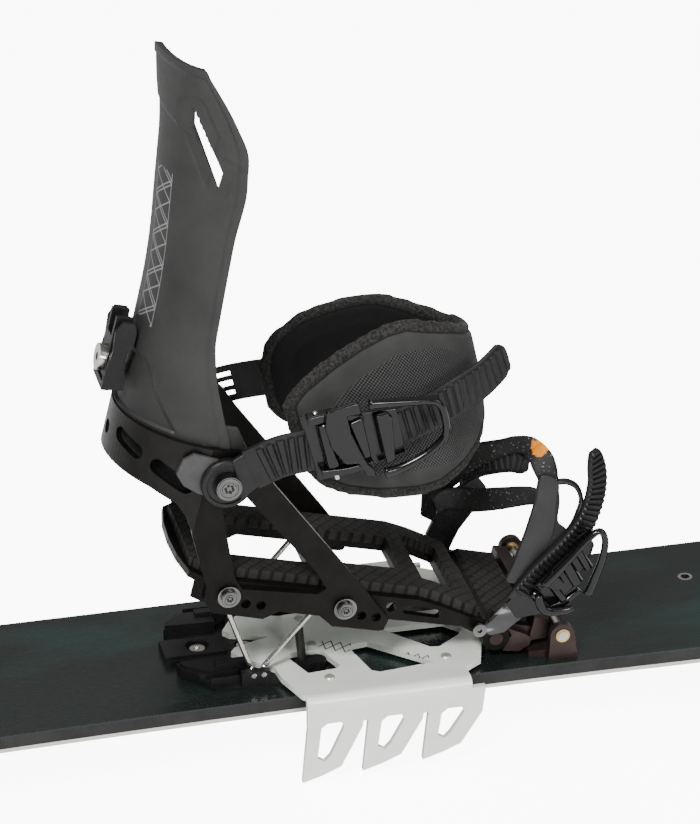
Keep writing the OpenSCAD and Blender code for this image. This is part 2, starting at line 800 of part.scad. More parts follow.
module ankle_pad() color([0.12, 0.12, 0.12]) on_ankle() intersection() {
    translate([0, 0, -70]) linear_extrude(120) difference() {
        union() {
            translate([118, 0]) circle(r = 60, $fn = 96);
            translate([47.5, -60]) square([70.5, 120]);
        }
        translate([118, 0]) circle(r = 50, $fn = 96);
        translate([40, -50]) square([78, 100]);
    }
    slab_y(-80, 80) polygon(pad_outline);
}

module ankle_buckle() color([0.07, 0.07, 0.07]) on_ankle() difference() {
    union() {
        translate([62, -62.6, -14.5]) cube([54, 2.2, 29]);
        for (z = [-15.2, 12.7]) translate([0, 0, z]) linear_extrude(2.5) polygon([
            [62, -60.4], [62, -70], [76, -76], [104, -77], [108, -70], [116, -66], [116, -60.4]
        ]);
    }
    for (x = [80, 98]) translate([x, -73, -20]) cylinder(h = 40, r = 1.5);
}

module ankle_buckle_pins() color("silver") on_ankle()
    for (x = [80, 98]) translate([x, -73, -15.2]) cylinder(h = 30.4, r = 1.5);

module ankle_pawl() color([0.13, 0.13, 0.13]) on_ankle() difference() {
    translate([0, 0, -12]) linear_extrude(24) polygon([
        [66, -70.5], [70, -75.5], [83, -76], [84, -70.5], [77, -68.3]
    ]);
    translate([80, -73, -20]) cylinder(h = 40, r = 1.5 + fit);
}

module ankle_lever() color([0.05, 0.05, 0.05]) on_ankle() difference() {
    union() {
        translate([0, 0, -10]) linear_extrude(20) {
            translate([98, -73]) circle(r = 3.9);
            polygon([[96, -76.5], [112, -79.5], [112, -76.5], [100, -70]]);
        }
        for (z = [-26, 21.5]) translate([0, 0, z]) linear_extrude(4.5) polygon([
            [88, -78.5], [92, -81.5], [142, -80], [146, -77], [142, -76], [112, -76.5]
        ]);
        translate([141, -81, -26]) cube([5, 5, 52]);
        translate([104, -80.4, -26]) cube([6, 3.4, 52]);
    }
    translate([98, -73, -20]) cylinder(h = 40, r = 1.5 + fit);
}

// ---------- toe strap ----------

module toe_connector() color([0.25, 0.25, 0.27]) on_toe() difference() {
    slab_y(-56.2, -53.4) polygon([
        [-12, -5], [-10, -12], [-3, -17], [5, -15], [9, -10], [29, 8], [30, 16], [26, 23],
        [18, 26], [11, 23], [-8, 4]
    ]);
    rod_y(-3.4, -8.6, -60, -50, 2 + fit);
    rod_y(15, 12, -60, -50, 3);
}

module toe_ladder() color([0.12, 0.12, 0.12]) on_toe() difference() {
    slab_y(-60.2, -56.5) polygon([
        [4, 4], [16, -4], [52, 36], [58, 62], [64, 118], [58, 124], [46, 118], [38, 64],
        [30, 46]
    ]);
    for (i = [0:9]) translate([56, -60.6, 66 + 5.4 * i]) rotate([45, 0, -8])
        cube([40, 2.6, 2.6], center = true);
}

module toe_far_strap() color([0.10, 0.10, 0.10]) on_toe() difference() {
    slab_y(53.2, 56.2) polygon([
        [-12, -9], [-8, -16], [0, -17], [6, -12], [6, 10], [12, 38], [10, 45], [3, 49],
        [-4, 46], [-14, 26], [-14, 0]
    ]);
    rod_y(-3.4, -8.6, 50, 60, 2 + fit);
}

module toe_cap() color([0.11, 0.11, 0.11]) on_toe() difference() {
    translate([-18, 0, 0]) rotate([90, 0, 90]) linear_extrude(42) difference() {
        intersection() {
            union() {
                translate([0, 62]) circle(r = 46, $fn = 96);
                translate([-50, 28]) square([100, 28]);
            }
            translate([-60, 30]) square([120, 90]);
        }
        translate([0, 58]) circle(r = 44, $fn = 96);
        translate([-44, 20]) square([88, 38]);
    }
    translate([4, 0, 62]) cube([16, 130, 30], center = true);
}

module toe_side_panel() color([0.22, 0.22, 0.22]) on_toe() slab_y(-53.2, -50.6)
    polygon([[-12, 24], [22, 22], [26, 56], [18, 76], [2, 76], [-8, 50]]);

// The toe buckle's two cross pins, each from one side plate to the other
toe_pin_hi = [[28, -63.5, 54.5], [63, -63.5, 46]];
toe_pin_lo = [[19, -63.5, 37], [57, -63.5, 33]];

module toe_buckle() color([0.08, 0.08, 0.08]) on_toe() difference() {
    union() {
        slab_y(-56.2, -53.6) polygon([[15, 30], [50, 30], [65, 60], [32, 61]]);
        slab_y(-65, -53.6) {
            polygon([[12.6, 27.2], [15.4, 26.2], [28, 46], [34, 62], [29, 60], [22, 50]]);
            polygon([[46, 24], [49, 24], [63, 44], [67, 62], [62.5, 62], [58, 46]]);
        }
    }
    bar(toe_pin_hi[0], toe_pin_hi[1], 1.3);
    bar(toe_pin_lo[0], toe_pin_lo[1], 1.3);
}

module toe_buckle_pins() color("silver") on_toe() {
    bar(toe_pin_hi[0], toe_pin_hi[1], 1.3);
    bar(toe_pin_lo[0], toe_pin_lo[1], 1.3);
}

module toe_pawl() color([0.13, 0.13, 0.13]) on_toe() difference() {
    bar([36.5, -63.5, 52.44], [56, -63.5, 47.7], 2.9);
    bar(toe_pin_hi[0], toe_pin_hi[1], 1.3);
}

module toe_lever() color([0.05, 0.05, 0.05]) on_toe() difference() {
    union() {
        bar([26, -63.5, 36.26], [48, -63.5, 33.95], 2.7);
        slab_y(-70, -64) polygon([[26, 36.3], [48, 34], [50, 40], [28, 42]]);
        slab_y(-71, -67.5) difference() {
            polygon([
                [17, 41], [20, 37.2], [55, 33.6], [59, 37], [71, 62], [69, 72], [62, 80],
                [48, 84], [41, 80]
            ]);
            polygon([[30, 43], [51, 40], [63, 63], [61, 69], [57, 73], [49, 76], [45, 73]]);
        }
    }
    bar(toe_pin_lo[0], toe_pin_lo[1], 1.3 + fit);
}

// ---------- assembly ----------

core();
topsheet();
base_sheet();
steel_edge();
sidewall();
ride_inserts();
toe_bracket();
pivot_pins();
pivot_bushings();
bracket_screws();
crampon_rod();
heel_rest();
heel_rest_screws();
wire_keepers();
baseplate();
heel_footpad();
toe_footpad();
heel_hoop();
side_arm_right();
side_arm_left();
arm_bolts();
strap_mount_plates();
ankle_bolts();
ramp_rivets();
toe_strap_bolts();
snap_ramp();
ramp_pad();
high_climbing_wire();
low_climbing_wire();
crampon();
crampon_rivets();
highback();
highback_screws();
lean_block();
lean_screw();
lean_lever();
ankle_ladder();
ankle_far_strap();
ankle_pad();
ankle_buckle();
ankle_buckle_pins();
ankle_pawl();
ankle_lever();
toe_connector();
toe_ladder();
toe_far_strap();
toe_cap();
toe_side_panel();
toe_buckle();
toe_buckle_pins();
toe_pawl();
toe_lever();
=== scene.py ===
import json
import math

import bmesh
import bpy
import numpy as np
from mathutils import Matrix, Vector


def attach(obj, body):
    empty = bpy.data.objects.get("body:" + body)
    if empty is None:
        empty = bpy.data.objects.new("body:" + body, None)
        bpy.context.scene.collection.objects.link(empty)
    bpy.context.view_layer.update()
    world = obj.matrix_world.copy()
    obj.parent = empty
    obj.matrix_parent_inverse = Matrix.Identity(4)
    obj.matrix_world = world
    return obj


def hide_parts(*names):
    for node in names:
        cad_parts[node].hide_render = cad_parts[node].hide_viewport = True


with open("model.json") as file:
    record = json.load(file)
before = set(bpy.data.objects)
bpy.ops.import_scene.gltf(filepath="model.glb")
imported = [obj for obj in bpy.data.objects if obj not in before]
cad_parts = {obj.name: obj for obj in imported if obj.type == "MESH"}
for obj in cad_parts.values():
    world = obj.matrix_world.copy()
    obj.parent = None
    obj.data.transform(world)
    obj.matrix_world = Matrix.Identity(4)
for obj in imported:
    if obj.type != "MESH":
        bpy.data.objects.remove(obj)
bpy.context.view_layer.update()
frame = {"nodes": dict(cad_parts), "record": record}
nodes = frame["nodes"]
MM = 0.001


# --- small helpers ---

def assign(target, **values):
    for name, v in values.items():
        setattr(target, name, v)


def add_object(name, data):
    o = bpy.data.objects.new(name, data)
    bpy.context.scene.collection.objects.link(o)
    return o


def baked(o):
    """A new mesh of the object as its modifiers leave it."""
    return bpy.data.meshes.new_from_object(o.evaluated_get(bpy.context.evaluated_depsgraph_get()))


# --- shader arithmetic ---

def put(nt, v, socket):
    """Feeds a socket from a number, a colour, a Value or another socket."""
    if isinstance(v, (int, float)):
        socket.default_value = v
    elif isinstance(v, tuple):
        socket.default_value = (*v, 1)
    else:
        nt.links.new(v.socket if isinstance(v, Value) else v, socket)


def rgb(c):
    """A colour, where a single number stands for a grey."""
    return (c, c, c) if isinstance(c, float) else c


class Value:
    """A shader number, so that sums of them read as arithmetic."""

    def __init__(self, nt, socket):
        self.nt, self.socket = nt, socket

    def op(self, kind, *others):
        n = self.nt.nodes.new("ShaderNodeMath")
        n.operation = kind
        for slot, v in zip(n.inputs, (self, *others)):
            put(self.nt, v, slot)
        return Value(self.nt, n.outputs[0])

    def __add__(self, v):
        return self.op("ADD", v)

    def __sub__(self, v):
        return self.op("SUBTRACT", v)

    def __mul__(self, v):
        return self.op("MULTIPLY", v)

    def __truediv__(self, v):
        return self.op("DIVIDE", v)

    def __abs__(self):
        return self.op("ABSOLUTE")

    def flipped(self):
        return self * -1.0 + 1.0


def largest(values):
    out = values[0]
    for v in values[1:]:
        out = out.op("MAXIMUM", v)
    return out


def new_material(name):
    m = bpy.data.materials.new(name)
    m.use_nodes = True
    nt = m.node_tree
    return m, nt, nt.nodes["Principled BSDF"]


def coords(nt, scale=(1, 1, 1)):
    """The object's own coordinates, in metres, stretched by a scale."""
    tc = nt.nodes.new("ShaderNodeTexCoord")
    mp = nt.nodes.new("ShaderNodeMapping")
    mp.inputs["Scale"].default_value = scale
    nt.links.new(tc.outputs["Object"], mp.inputs["Vector"])
    return mp.outputs["Vector"]


def split(nt, vec):
    s = nt.nodes.new("ShaderNodeSeparateXYZ")
    nt.links.new(vec, s.inputs[0])
    return [Value(nt, out) for out in s.outputs]


def attribute(nt, name):
    n = nt.nodes.new("ShaderNodeAttribute")
    n.attribute_name = name
    return split(nt, n.outputs["Vector"])


def noise(nt, vec, scale, detail=3.0, rough=0.55):
    n = nt.nodes.new("ShaderNodeTexNoise")
    for name, v in (("Scale", scale), ("Detail", detail), ("Roughness", rough)):
        put(nt, v, n.inputs[name])
    nt.links.new(vec, n.inputs["Vector"])
    return Value(nt, n.outputs["Fac"])


def ramp(nt, fac, *stops):
    """A colour that runs through (position, colour) stops."""
    r = nt.nodes.new("ShaderNodeValToRGB")
    els = r.color_ramp.elements
    for _ in stops[2:]:
        els.new(0.5)
    for stop, (pos, col) in zip(els, stops):
        stop.position, stop.color = pos, (*rgb(col), 1)
    put(nt, fac, r.inputs["Fac"])
    return r.outputs["Color"]


def remap(nt, fac, lo, hi, a=0.0, b=1.0):
    """Carries the span from a to b on to the span from lo to hi."""
    r = nt.nodes.new("ShaderNodeMapRange")
    for name, v in (("From Min", a), ("From Max", b), ("To Min", lo), ("To Max", hi), ("Value", fac)):
        put(nt, v, r.inputs[name])
    return Value(nt, r.outputs["Result"])


def below(value, limit, soft):
    """1 where the value is under the limit, 0 above it, over a short step."""
    return remap(value.nt, value, 1.0, 0.0, limit - soft, limit + soft)


def mix(nt, fac, a, b):
    n = nt.nodes.new("ShaderNodeMix")
    n.data_type = "RGBA"
    for socket, v in ((n.inputs[0], fac), (n.inputs[6], rgb(a)), (n.inputs[7], rgb(b))):
        put(nt, v, socket)
    return n.outputs[2]


def zigzag(value, pitch):
    """A line that falls from 1 to 0 and rises again over each pitch."""
    return abs((value / pitch).op("FRACT") * 2.0 - 1.0)


def weave(nt, along, across, pitch):
    """The height, from 0 to 1, of a plain weave of round threads."""
    k = 2 * math.pi / pitch
    return remap(nt, (along * k).op("SINE") * (across * k).op("SINE"), 0.0, 1.0, -1.0, 1.0)


def groove(value, pitch, width):
    """1 on thin lines a pitch apart, 0 between them."""
    d = abs((value / pitch).op("FRACT") - 0.5)
    return remap(value.nt, d, 0.0, 1.0, 0.5 - width / pitch, 0.5 - 0.35 * width / pitch)


def surface(nt, b, colour, grain, rough, height, strength, depth_mm, **uniform):
    """Joins a colour, a roughness that the grain varies between two values, and a bump."""
    put(nt, colour, b.inputs["Base Color"])
    put(nt, remap(nt, grain, *rough, 0.3, 0.7), b.inputs["Roughness"])
    for name, v in uniform.items():
        b.inputs[name.replace("_", " ")].default_value = v
    bump(nt, b, height, strength, depth_mm * MM)


def bump(nt, b, height, strength, distance):
    n = nt.nodes.new("ShaderNodeBump")
    n.inputs["Strength"].default_value = strength
    n.inputs["Distance"].default_value = distance
    put(nt, height, n.inputs["Height"])
    nt.links.new(n.outputs["Normal"], b.inputs["Normal"])


def simple(name, dark, light, rough=(0.4, 0.6), metal=0.0, scale=60.0, grain=600.0,
           bump_mm=0.02, stretch=(1, 1, 1), coat=0.0, spec=0.5):
    """A base colour between two shades, a varying roughness and a fine surface grain."""
    m, nt, b = new_material(name)
    vec = coords(nt, stretch)
    broad, fine = noise(nt, vec, scale), noise(nt, vec, grain, 2.0)
    surface(nt, b, ramp(nt, broad, (0.3, dark), (0.7, light)), fine, rough, fine, 0.5, bump_mm,
        Metallic=metal, Coat_Weight=coat, Coat_Roughness=0.15, Specular_IOR_Level=spec)
    return m


# --- plain materials ---

MAT = {
    "core": simple("wood_core", (0.34, 0.22, 0.11), (0.52, 0.37, 0.2), stretch=(1, 12, 12)),
    "topsheet": simple("topsheet", (0.0030, 0.0045, 0.0040), (0.008, 0.012, 0.0105), (0.24, 0.34), spec=0.4),
    "base_black": simple("base", 0.012, 0.022, (0.5, 0.65)),
    "sidewall_grey": simple("sidewall", 0.010, 0.020, (0.45, 0.6), spec=0.3),
    "edge_steel": simple("edge_steel", (0.60, 0.56, 0.49), (0.82, 0.78, 0.71), (0.28, 0.45), 0.9,
                         stretch=(0.05, 1, 1)),
    "stainless": simple("stainless", (0.46, 0.44, 0.41), (0.66, 0.64, 0.61), (0.16, 0.3), 1.0),
    "black_screw": simple("black_screw", 0.008, 0.02, (0.3, 0.45), 0.5),
    "bronze_anodised": simple("bronze_anodised", (0.034, 0.022, 0.020), (0.056, 0.038, 0.035),
                              (0.32, 0.46), 0.75),
    "black_anodised": simple("black_anodised", (0.0032, 0.0028, 0.0024), (0.008, 0.0068, 0.006),
                             (0.32, 0.46), 0.5, spec=0.22),
    "brass_ring": simple("brass_ring", (0.55, 0.38, 0.14), (0.72, 0.52, 0.22), (0.25, 0.4), 1.0),
    "crampon_alloy": simple("crampon_alloy", (0.46, 0.49, 0.43), (0.58, 0.61, 0.54), (0.34, 0.48), 0.7,
                            stretch=(0.2, 1, 1)),
    "black_nylon": simple("black_nylon", 0.003, 0.007, (0.38, 0.55), spec=0.28),
    "grey_nylon": simple("grey_nylon", 0.03, 0.055, (0.45, 0.6), spec=0.35),
    "charcoal_shell": simple("charcoal_shell", (0.016, 0.016, 0.0155), (0.026, 0.026, 0.025), (0.5, 0.65),
                             spec=0.35),
    "foot_rubber": simple("foot_rubber", (0.008, 0.0075, 0.0065), (0.017, 0.016, 0.014), (0.6, 0.8),
                          spec=0.3),
    "strap_urethane": simple("strap_urethane", 0.006, 0.014, (0.25, 0.4)),
    "clear_smoke": simple("clear_smoke", (0.03, 0.03, 0.032), (0.07, 0.07, 0.075), (0.08, 0.2), coat=0.6),
    "toe_rubber": simple("toe_rubber", 0.006, 0.015, (0.55, 0.75), spec=0.3),
    "strap_fabric": simple("strap_fabric", 0.015, 0.03, (0.8, 0.95)),
}

slot_of = {p["node"]: p["material_slot"] for p in frame["record"]["subparts"]}
for name, obj in nodes.items():
    obj.data.materials.clear()
    obj.data.materials.append(MAT[slot_of[name]])


def bevel(obj, width, segments=3, angle=40):
    assign(obj.modifiers.new("bevel", "BEVEL"), width=width, segments=segments, limit_method="ANGLE",
        angle_limit=math.radians(angle), harden_normals=True)


# --- frames of the binding ---

PITCH = math.radians(14)
STRAP = math.radians(26)
PIVOTS = {j["name"]: [c / MM for c in j["pos_m"]] for j in frame["record"]["behaviour"]["joints"]}
TOE_X, _, TOE_Z = PIVOTS["tour_pivot"]
ANKLE_U, ANKLE_V = 246, 81


def L(u, v, y):
    """A point of the binding: u back along the baseplate from the toe pivot, v up from it."""
    return Vector((TOE_X - u * math.cos(PITCH) + v * math.sin(PITCH), y, TOE_Z + u * math.sin(PITCH)
        + v * math.cos(PITCH))) * MM


def B(u, y, v):
    """L with its arguments in the order that plates use."""
    return L(u, v, y)


def A(x, y, z):
    """A point of the ankle strap: x along it from its bolt, z across it."""
    return L(ANKLE_U - x * math.cos(STRAP) + z * math.sin(STRAP), ANKLE_V + x * math.sin(STRAP)
        + z * math.cos(STRAP), y)


# --- curves and meshes ---

def lookup(v, table):
    if v <= table[0][0]:
        return table[0][1]
    for (a, fa), (b, fb) in zip(table, table[1:]):
        if v <= b:
            return fa + (fb - fa) * (v - a) / (b - a)
    return table[-1][1]


def soft_lookup(v, table, half):
    """The table's value with its corners rounded over half a width each way."""
    k = 5
    return sum(lookup(v + half * i / k, table) for i in range(-k, k + 1)) / (2 * k + 1)


def spline(points, n, closed=False):
    """n points evenly spaced along a smooth curve through the given ones."""
    pts = [Vector(p) for p in points]
    m = len(pts)
    fine = []
    for i in range(m if closed else m - 1):
        p1, p2 = pts[i], pts[(i + 1) % m]
        p0 = pts[i - 1] if closed or i > 0 else p1 * 2 - p2
        p3 = pts[(i + 2) % m] if closed or i + 2 < m else p2 * 2 - p1
        for k in range(16):
            t = k / 16
            fine.append(0.5 * ((2 * p1) + (p2 - p0) * t + (2 * p0 - 5 * p1 + 4 * p2 - p3) * t * t
                + (3 * p1 - p0 - 3 * p2 + p3) * t ** 3))
    fine.append(pts[0].copy() if closed else pts[-1].copy())
    run = [0.0]
    for a, b in zip(fine, fine[1:]):
        run.append(run[-1] + (b - a).length)
    out, j = [], 0
    for i in range(n):
        want = run[-1] * i / (n if closed else n - 1)
        while j < len(run) - 2 and run[j + 1] < want:
            j += 1
        span = run[j + 1] - run[j]
        out.append(fine[j].lerp(fine[j + 1], (want - run[j]) / span if span else 0))
    return out


def piece(name, verts, faces, body, slot, replaces=(), mat=None, width=0.0):
    """A mesh that rides a body, with its edges bevelled by a width in mm."""
    me = bpy.data.meshes.new(name)
    me.from_pydata([tuple(v) for v in verts], [], faces)
    bm = bmesh.new()
    bm.from_mesh(me)
    bmesh.ops.recalc_face_normals(bm, faces=bm.faces)
    bm.to_mesh(me)
    bm.free()
    me.shade_smooth()
    o = add_object(name, me)
    me.materials.append(mat or MAT[slot])
    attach(o, body)
    if replaces:
        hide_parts(*replaces)
    if width:
        bevel(o, width * MM)
    return o


def loop_faces(rings, n, wrap=False):
    """Quads between successive rings of n vertices, closed at both ends or joined into a loop."""
    f = []
    count = rings if wrap else rings - 1
    for i in range(count):
        a, b = i * n, ((i + 1) % rings) * n
        for j in range(n):
            k = (j + 1) % n
            f.append((a + j, a + k, b + k, b + j))
    if not wrap:
        f.append(tuple(range(n - 1, -1, -1)))
        f.append(tuple((rings - 1) * n + j for j in range(n)))
    return f


def pierced_faces(rows, cols, opened, front, back):
    """Faces of a sheet with two sides, whose open cells are left out and walled round."""
    faces = []
    for i in range(rows):
        for j in range(cols):
            if (i, j) in opened:
                continue
            corners = [(i, j), (i, j + 1), (i + 1, j + 1), (i + 1, j)]
            faces.append([front(*c) for c in corners])
            faces.append([back(*c) for c in reversed(corners)])
            for k, (p, q) in enumerate([(i - 1, j), (i, j + 1), (i + 1, j), (i, j - 1)]):
                if (p, q) in opened or not (0 <= p < rows and 0 <= q < cols):
                    a, b = corners[k], corners[(k + 1) % 4]
                    faces.append([front(*a), back(*a), back(*b), front(*b)])
    return faces


def sweep(path, across, section):
    """Carries section(i) = [(along across, outwards)] along a path; across is one vector per point."""
    verts, n = [], len(path)
    for i, p in enumerate(path):
        t = (path[min(i + 1, n - 1)] - path[max(i - 1, 0)]).normalized()
        w = (across[i] - t * across[i].dot(t)).normalized()
        out = w.cross(t).normalized()
        verts += [p + (w * a + out * b) * MM for a, b in section(i)]
    return verts


def slab(outline, thick, normal):
    """A flat plate from an outline of points."""
    d = normal.normalized() * thick * MM
    return [*outline, *[p + d for p in outline]], loop_faces(2, len(outline))


# --- materials of the detailed pieces ---

def highback_material():
    m, nt, b = new_material("highback_shell")
    vec = coords(nt)
    broad, fine = noise(nt, vec, 26, 4.0), noise(nt, vec, 1500, 2.0)
    base = ramp(nt, broad, (0.3, (0.017, 0.017, 0.0165)), (0.7, (0.027, 0.027, 0.026)))
    # a thin printed lattice beside the spine, between two edge lines
    x, v, _ = attribute(nt, "place")
    near, width, pitch = 2.0, 19.0, 27.0
    up, down, double = (zigzag(v + shift, pitch) for shift in (0.0, 0.0, 2.6))
    lines = [below(abs(x - (tri * -width - near)), 0.75, 0.25) for tri in (up, down.flipped(),
        double.flipped())]
    lines += [below(abs(x + edge), 0.28, 0.12) for edge in (near, near + width)]
    mark = largest(lines) * below(abs(v - 211.0), 50.0, 0.4) * 0.62
    surface(nt, b, mix(nt, mark, base, 0.30), fine, (0.46, 0.62), fine, 0.5, 0.03, Specular_IOR_Level=0.35)
    return m


def pad_material():
    """Foam with a mesh panel outside, a plain lining inside with painted shade deep within it, and a tape
    round the edge.
    """
    m, nt, b = new_material("ankle_pad_cloth")
    vec = coords(nt)
    edge, mesh_d, inner = attribute(nt, "place")
    x, y, z = split(nt, vec)
    tape_h, mesh_h = noise(nt, vec, 620, 2.0), weave(nt, x + y, z, 2.4 * MM)
    tape_c = ramp(nt, tape_h, (0.35, 0.004), (0.65, (0.030, 0.029, 0.026)))
    mesh_c = ramp(nt, mesh_h, (0.25, 0.0012), (0.75, (0.052, 0.052, 0.051)))
    broad, fine = noise(nt, vec, 40, 3.0), noise(nt, vec, 2600, 2.0)
    foam = ramp(nt, broad, (0.3, (0.022, 0.022, 0.0213)), (0.7, (0.033, 0.033, 0.0318)))
    plain_lining = ramp(nt, broad, (0.3, 0.0025), (0.7, 0.006))
    # painted shade: more than 21 to 23 mm in from the edge the lining goes near black, as shade deep inside
    # the pad; the seam beside the tape takes the same near black
    dark = 0.0012
    lining = mix(nt, remap(nt, edge, 0.0, 1.0, 21.0, 23.0), plain_lining, dark)
    mesh_f, tape_f = below(mesh_d, 0.0, 0.4), below(edge, 8.2, 0.25)
    seam = below(abs(edge - 8.4), 0.55, 0.35)
    col = mix(nt, inner, mix(nt, mesh_f, foam, mesh_c), lining)
    col = mix(nt, seam * 0.85, mix(nt, tape_f, col, tape_c), dark)
    put(nt, col, b.inputs["Base Color"])
    b.inputs["Roughness"].default_value = 0.85
    b.inputs["Sheen Weight"].default_value = 0.05
    b.inputs["Specular IOR Level"].default_value = 0.25
    height = tape_h * tape_f + mesh_h * (mesh_f * inner.flipped()) + fine * 0.25
    bump(nt, b, height, 0.8, 0.5 * MM)
    return m


GLOSS = simple("gloss_black", 0.0015, 0.003, (0.12, 0.22), spec=0.42, grain=300)
RIB = simple("rib_urethane", 0.004, 0.010, (0.34, 0.5), grain=900, spec=0.32)


def speckled(name, dark, light, amount, patch=None):
    """Rubber with pale specks and, where a centre is given, a worn patch of orange paint."""
    m, nt, b = new_material(name)
    vec = coords(nt)
    base = ramp(nt, noise(nt, vec, 60), (0.3, dark), (0.7, light))
    dots = remap(nt, noise(nt, vec, 700, 1.0, 0.5), 0.0, 1.0, amount, amount + 0.03)
    col = mix(nt, dots, base, (0.20, 0.19, 0.16))
    if patch is not None:
        d = nt.nodes.new("ShaderNodeVectorMath")
        d.operation = "DISTANCE"
        nt.links.new(vec, d.inputs[0])
        d.inputs[1].default_value = patch
        worn = Value(nt, d.outputs["Value"]) * 1000.0 + noise(nt, vec, 260) * 9.0
        col = mix(nt, below(worn, 10.2, 0.5), col, (0.62, 0.20, 0.001))
    surface(nt, b, col, noise(nt, vec, 900), (0.5, 0.7), noise(nt, vec, 1200), 0.5, 0.04,
        Specular_IOR_Level=0.3)
    return m


def connector_material():
    """Smoky plastic with paler streaks along it, which are painted reflections."""
    m, nt, b = new_material("toe_connector_clear")
    vec = coords(nt, (0.25, 1, 1))
    # the pale stop paints reflections as streaks along the clear plastic
    put(nt, ramp(nt, noise(nt, vec, 130, 2.0), (0.42, (0.010, 0.010, 0.011)), (0.58, (0.03, 0.03, 0.033)),
        (0.66, (0.22, 0.22, 0.235))), b.inputs["Base Color"])
    put(nt, remap(nt, noise(nt, vec, 60), 0.06, 0.16, 0.3, 0.7), b.inputs["Roughness"])
    b.inputs["Coat Weight"].default_value = 0.5
    return m


def along_binding(nt):
    """The binding's u, y and v, in mm, for the point being shaded."""
    px, py, pz = split(nt, coords(nt))
    x, z = px * 1000.0 - TOE_X, pz * 1000.0 - TOE_Z
    u = x * -math.cos(PITCH) + z * math.sin(PITCH)
    return u, py * 1000.0, x * math.sin(PITCH) + z * math.cos(PITCH)


def tread_material():
    m, nt, b = new_material("foot_tread")
    u, y, _ = along_binding(nt)
    vec, skew = coords(nt), y * 0.9
    lines = largest([groove(u + skew, 8.2, 0.9), groove(u - skew, 8.2, 0.9)])
    base = ramp(nt, noise(nt, vec, 50, 4.0), (0.3, (0.010, 0.009, 0.0075)), (0.7, (0.022, 0.0205, 0.0175)))
    # painted shade: the grooves, which the bump also sinks, are coloured near black
    surface(nt, b, mix(nt, lines, base, (0.0015, 0.0014, 0.0012)), noise(nt, vec, 800), (0.6, 0.8),
        lines * -1.0, 0.9, 0.8, Specular_IOR_Level=0.3)
    return m


def topsheet_material():
    m, nt, b = new_material("topsheet_weave")
    x, y, _ = split(nt, coords(nt))
    vec = coords(nt, (1, 3, 1))
    w = weave(nt, x, y, 2.2 * MM)
    dark = ramp(nt, w, (0.2, (0.0035, 0.0050, 0.0045)), (0.8, (0.0095, 0.0135, 0.012)))
    green = ramp(nt, w, (0.2, (0.0045, 0.014, 0.0115)), (0.8, (0.012, 0.036, 0.030)))
    tint = remap(nt, noise(nt, vec, 5.5, 4.0, 0.6), 0.0, 1.0, 0.5, 0.72)
    surface(nt, b, mix(nt, tint, dark, green), noise(nt, vec, 160), (0.22, 0.32), w, 0.25, 0.02,
        Specular_IOR_Level=0.45)
    return m


def crampon_material():
    """Satin alloy with a few generic dark zigzag lines printed on the plate."""
    m, nt, b = new_material("crampon_printed")
    px, py, pz = split(nt, coords(nt))
    x, y = px * 1000.0, py * 1000.0
    vec = coords(nt, (0.25, 1, 1))
    base = ramp(nt, noise(nt, vec, 60), (0.3, (0.78, 0.82, 0.74)), (0.7, (0.88, 0.91, 0.84)))
    # q runs along the printed strip and r across it
    q, r = x * 0.86 + y * -0.5, x * 0.5 + y * 0.86
    mark = largest([below(abs(r - (zigzag(q + shift, 13.0) * 11.0 - 33.0)), 0.75,
        0.2) for shift in (0.0, 6.5)])
    on_top = remap(nt, pz, 0.0, 1.0, 0.0176, 0.0180)
    mark = mark * below(abs(q - 24.0), 36.0, 0.3) * on_top
    surface(nt, b, mix(nt, mark, base, 0.012), noise(nt, vec, 500), (0.36, 0.48), noise(nt, vec, 900),
        0.4, 0.02, Metallic=0.3)
    return m


# --- highback ---

SPINE = [[101, 311], [130, 309], [200, 309], [300, 324], [335, 337]]
WING = [[101, 246], [118, 254], [142, 264], [165, 270], [235, 273], [262, 272], [290, 277], [312, 293],
    [330, 309], [335, 314]]
INNER = [[101, 246], [118, 254], [142, 264], [200, 284], [240, 295], [290, 299], [312, 312]]
WING_Y = [[101, 54], [150, 50], [210, 47], [280, 47], [335, 41]]
INNER_Y = [[101, 54], [150, 50], [210, 44], [280, 34], [335, 24]]
BASE, TOP = 91, 335
HOOP_U, CUP_R = 250, 53.1
SLOT = [(313.5, 309), (289.5, 274), (290, 263.5), (311.5, 298)]


# shell shapes already worked out, by height and side
SHAPES = {}


def shell_shape(v, near):
    """The edge, the half width and the spine at a height, remembered for the next point."""
    k = (round(v, 2), near)
    if k not in SHAPES:
        SHAPES[k] = (soft_lookup(v, WING if near else INNER, 6 if near else 10), soft_lookup(v,
            WING_Y if near else INNER_Y, 20), soft_lookup(v, SPINE, 25))
    return SHAPES[k]


def shell_u_y(v, a, d):
    """A point of the shell at a height, from -1 at its near edge to 1 at its far one, d below the face."""
    e, w, spine = shell_shape(v, a < 0)
    b = spine - e
    t = math.radians(90 * a)
    return e + (b - d) * math.cos(t), (w - d) * math.sin(t)


def inside(p, poly):
    """Whether a point lies within an outline."""
    hit = False
    for (x0, y0), (x1, y1) in zip(poly, poly[1:] + poly[:1]):
        if (y0 > p[1]) != (y1 > p[1]) and p[0] < x0 + (p[1] - y0) * (x1 - x0) / (y1 - y0):
            hit = not hit
    return hit


def nearest(p, poly):
    """The distance from a point to an outline, and the outline's point that is nearest."""
    best = None
    for (x0, y0), (x1, y1) in zip(poly, poly[1:] + poly[:1]):
        dx, dy = x1 - x0, y1 - y0
        t = max(0, min(1, ((p[0] - x0) * dx + (p[1] - y0) * dy) / (dx * dx + dy * dy)))
        q = (x0 + t * dx, y0 + t * dy)
        d = math.hypot(p[0] - q[0], p[1] - q[1])
        if best is None or d < best[0]:
            best = (d, q)
    return best


def step(x, a, b):
    t = max(0.0, min(1.0, (x - a) / (b - a)))
    return t * t * (3 - 2 * t)


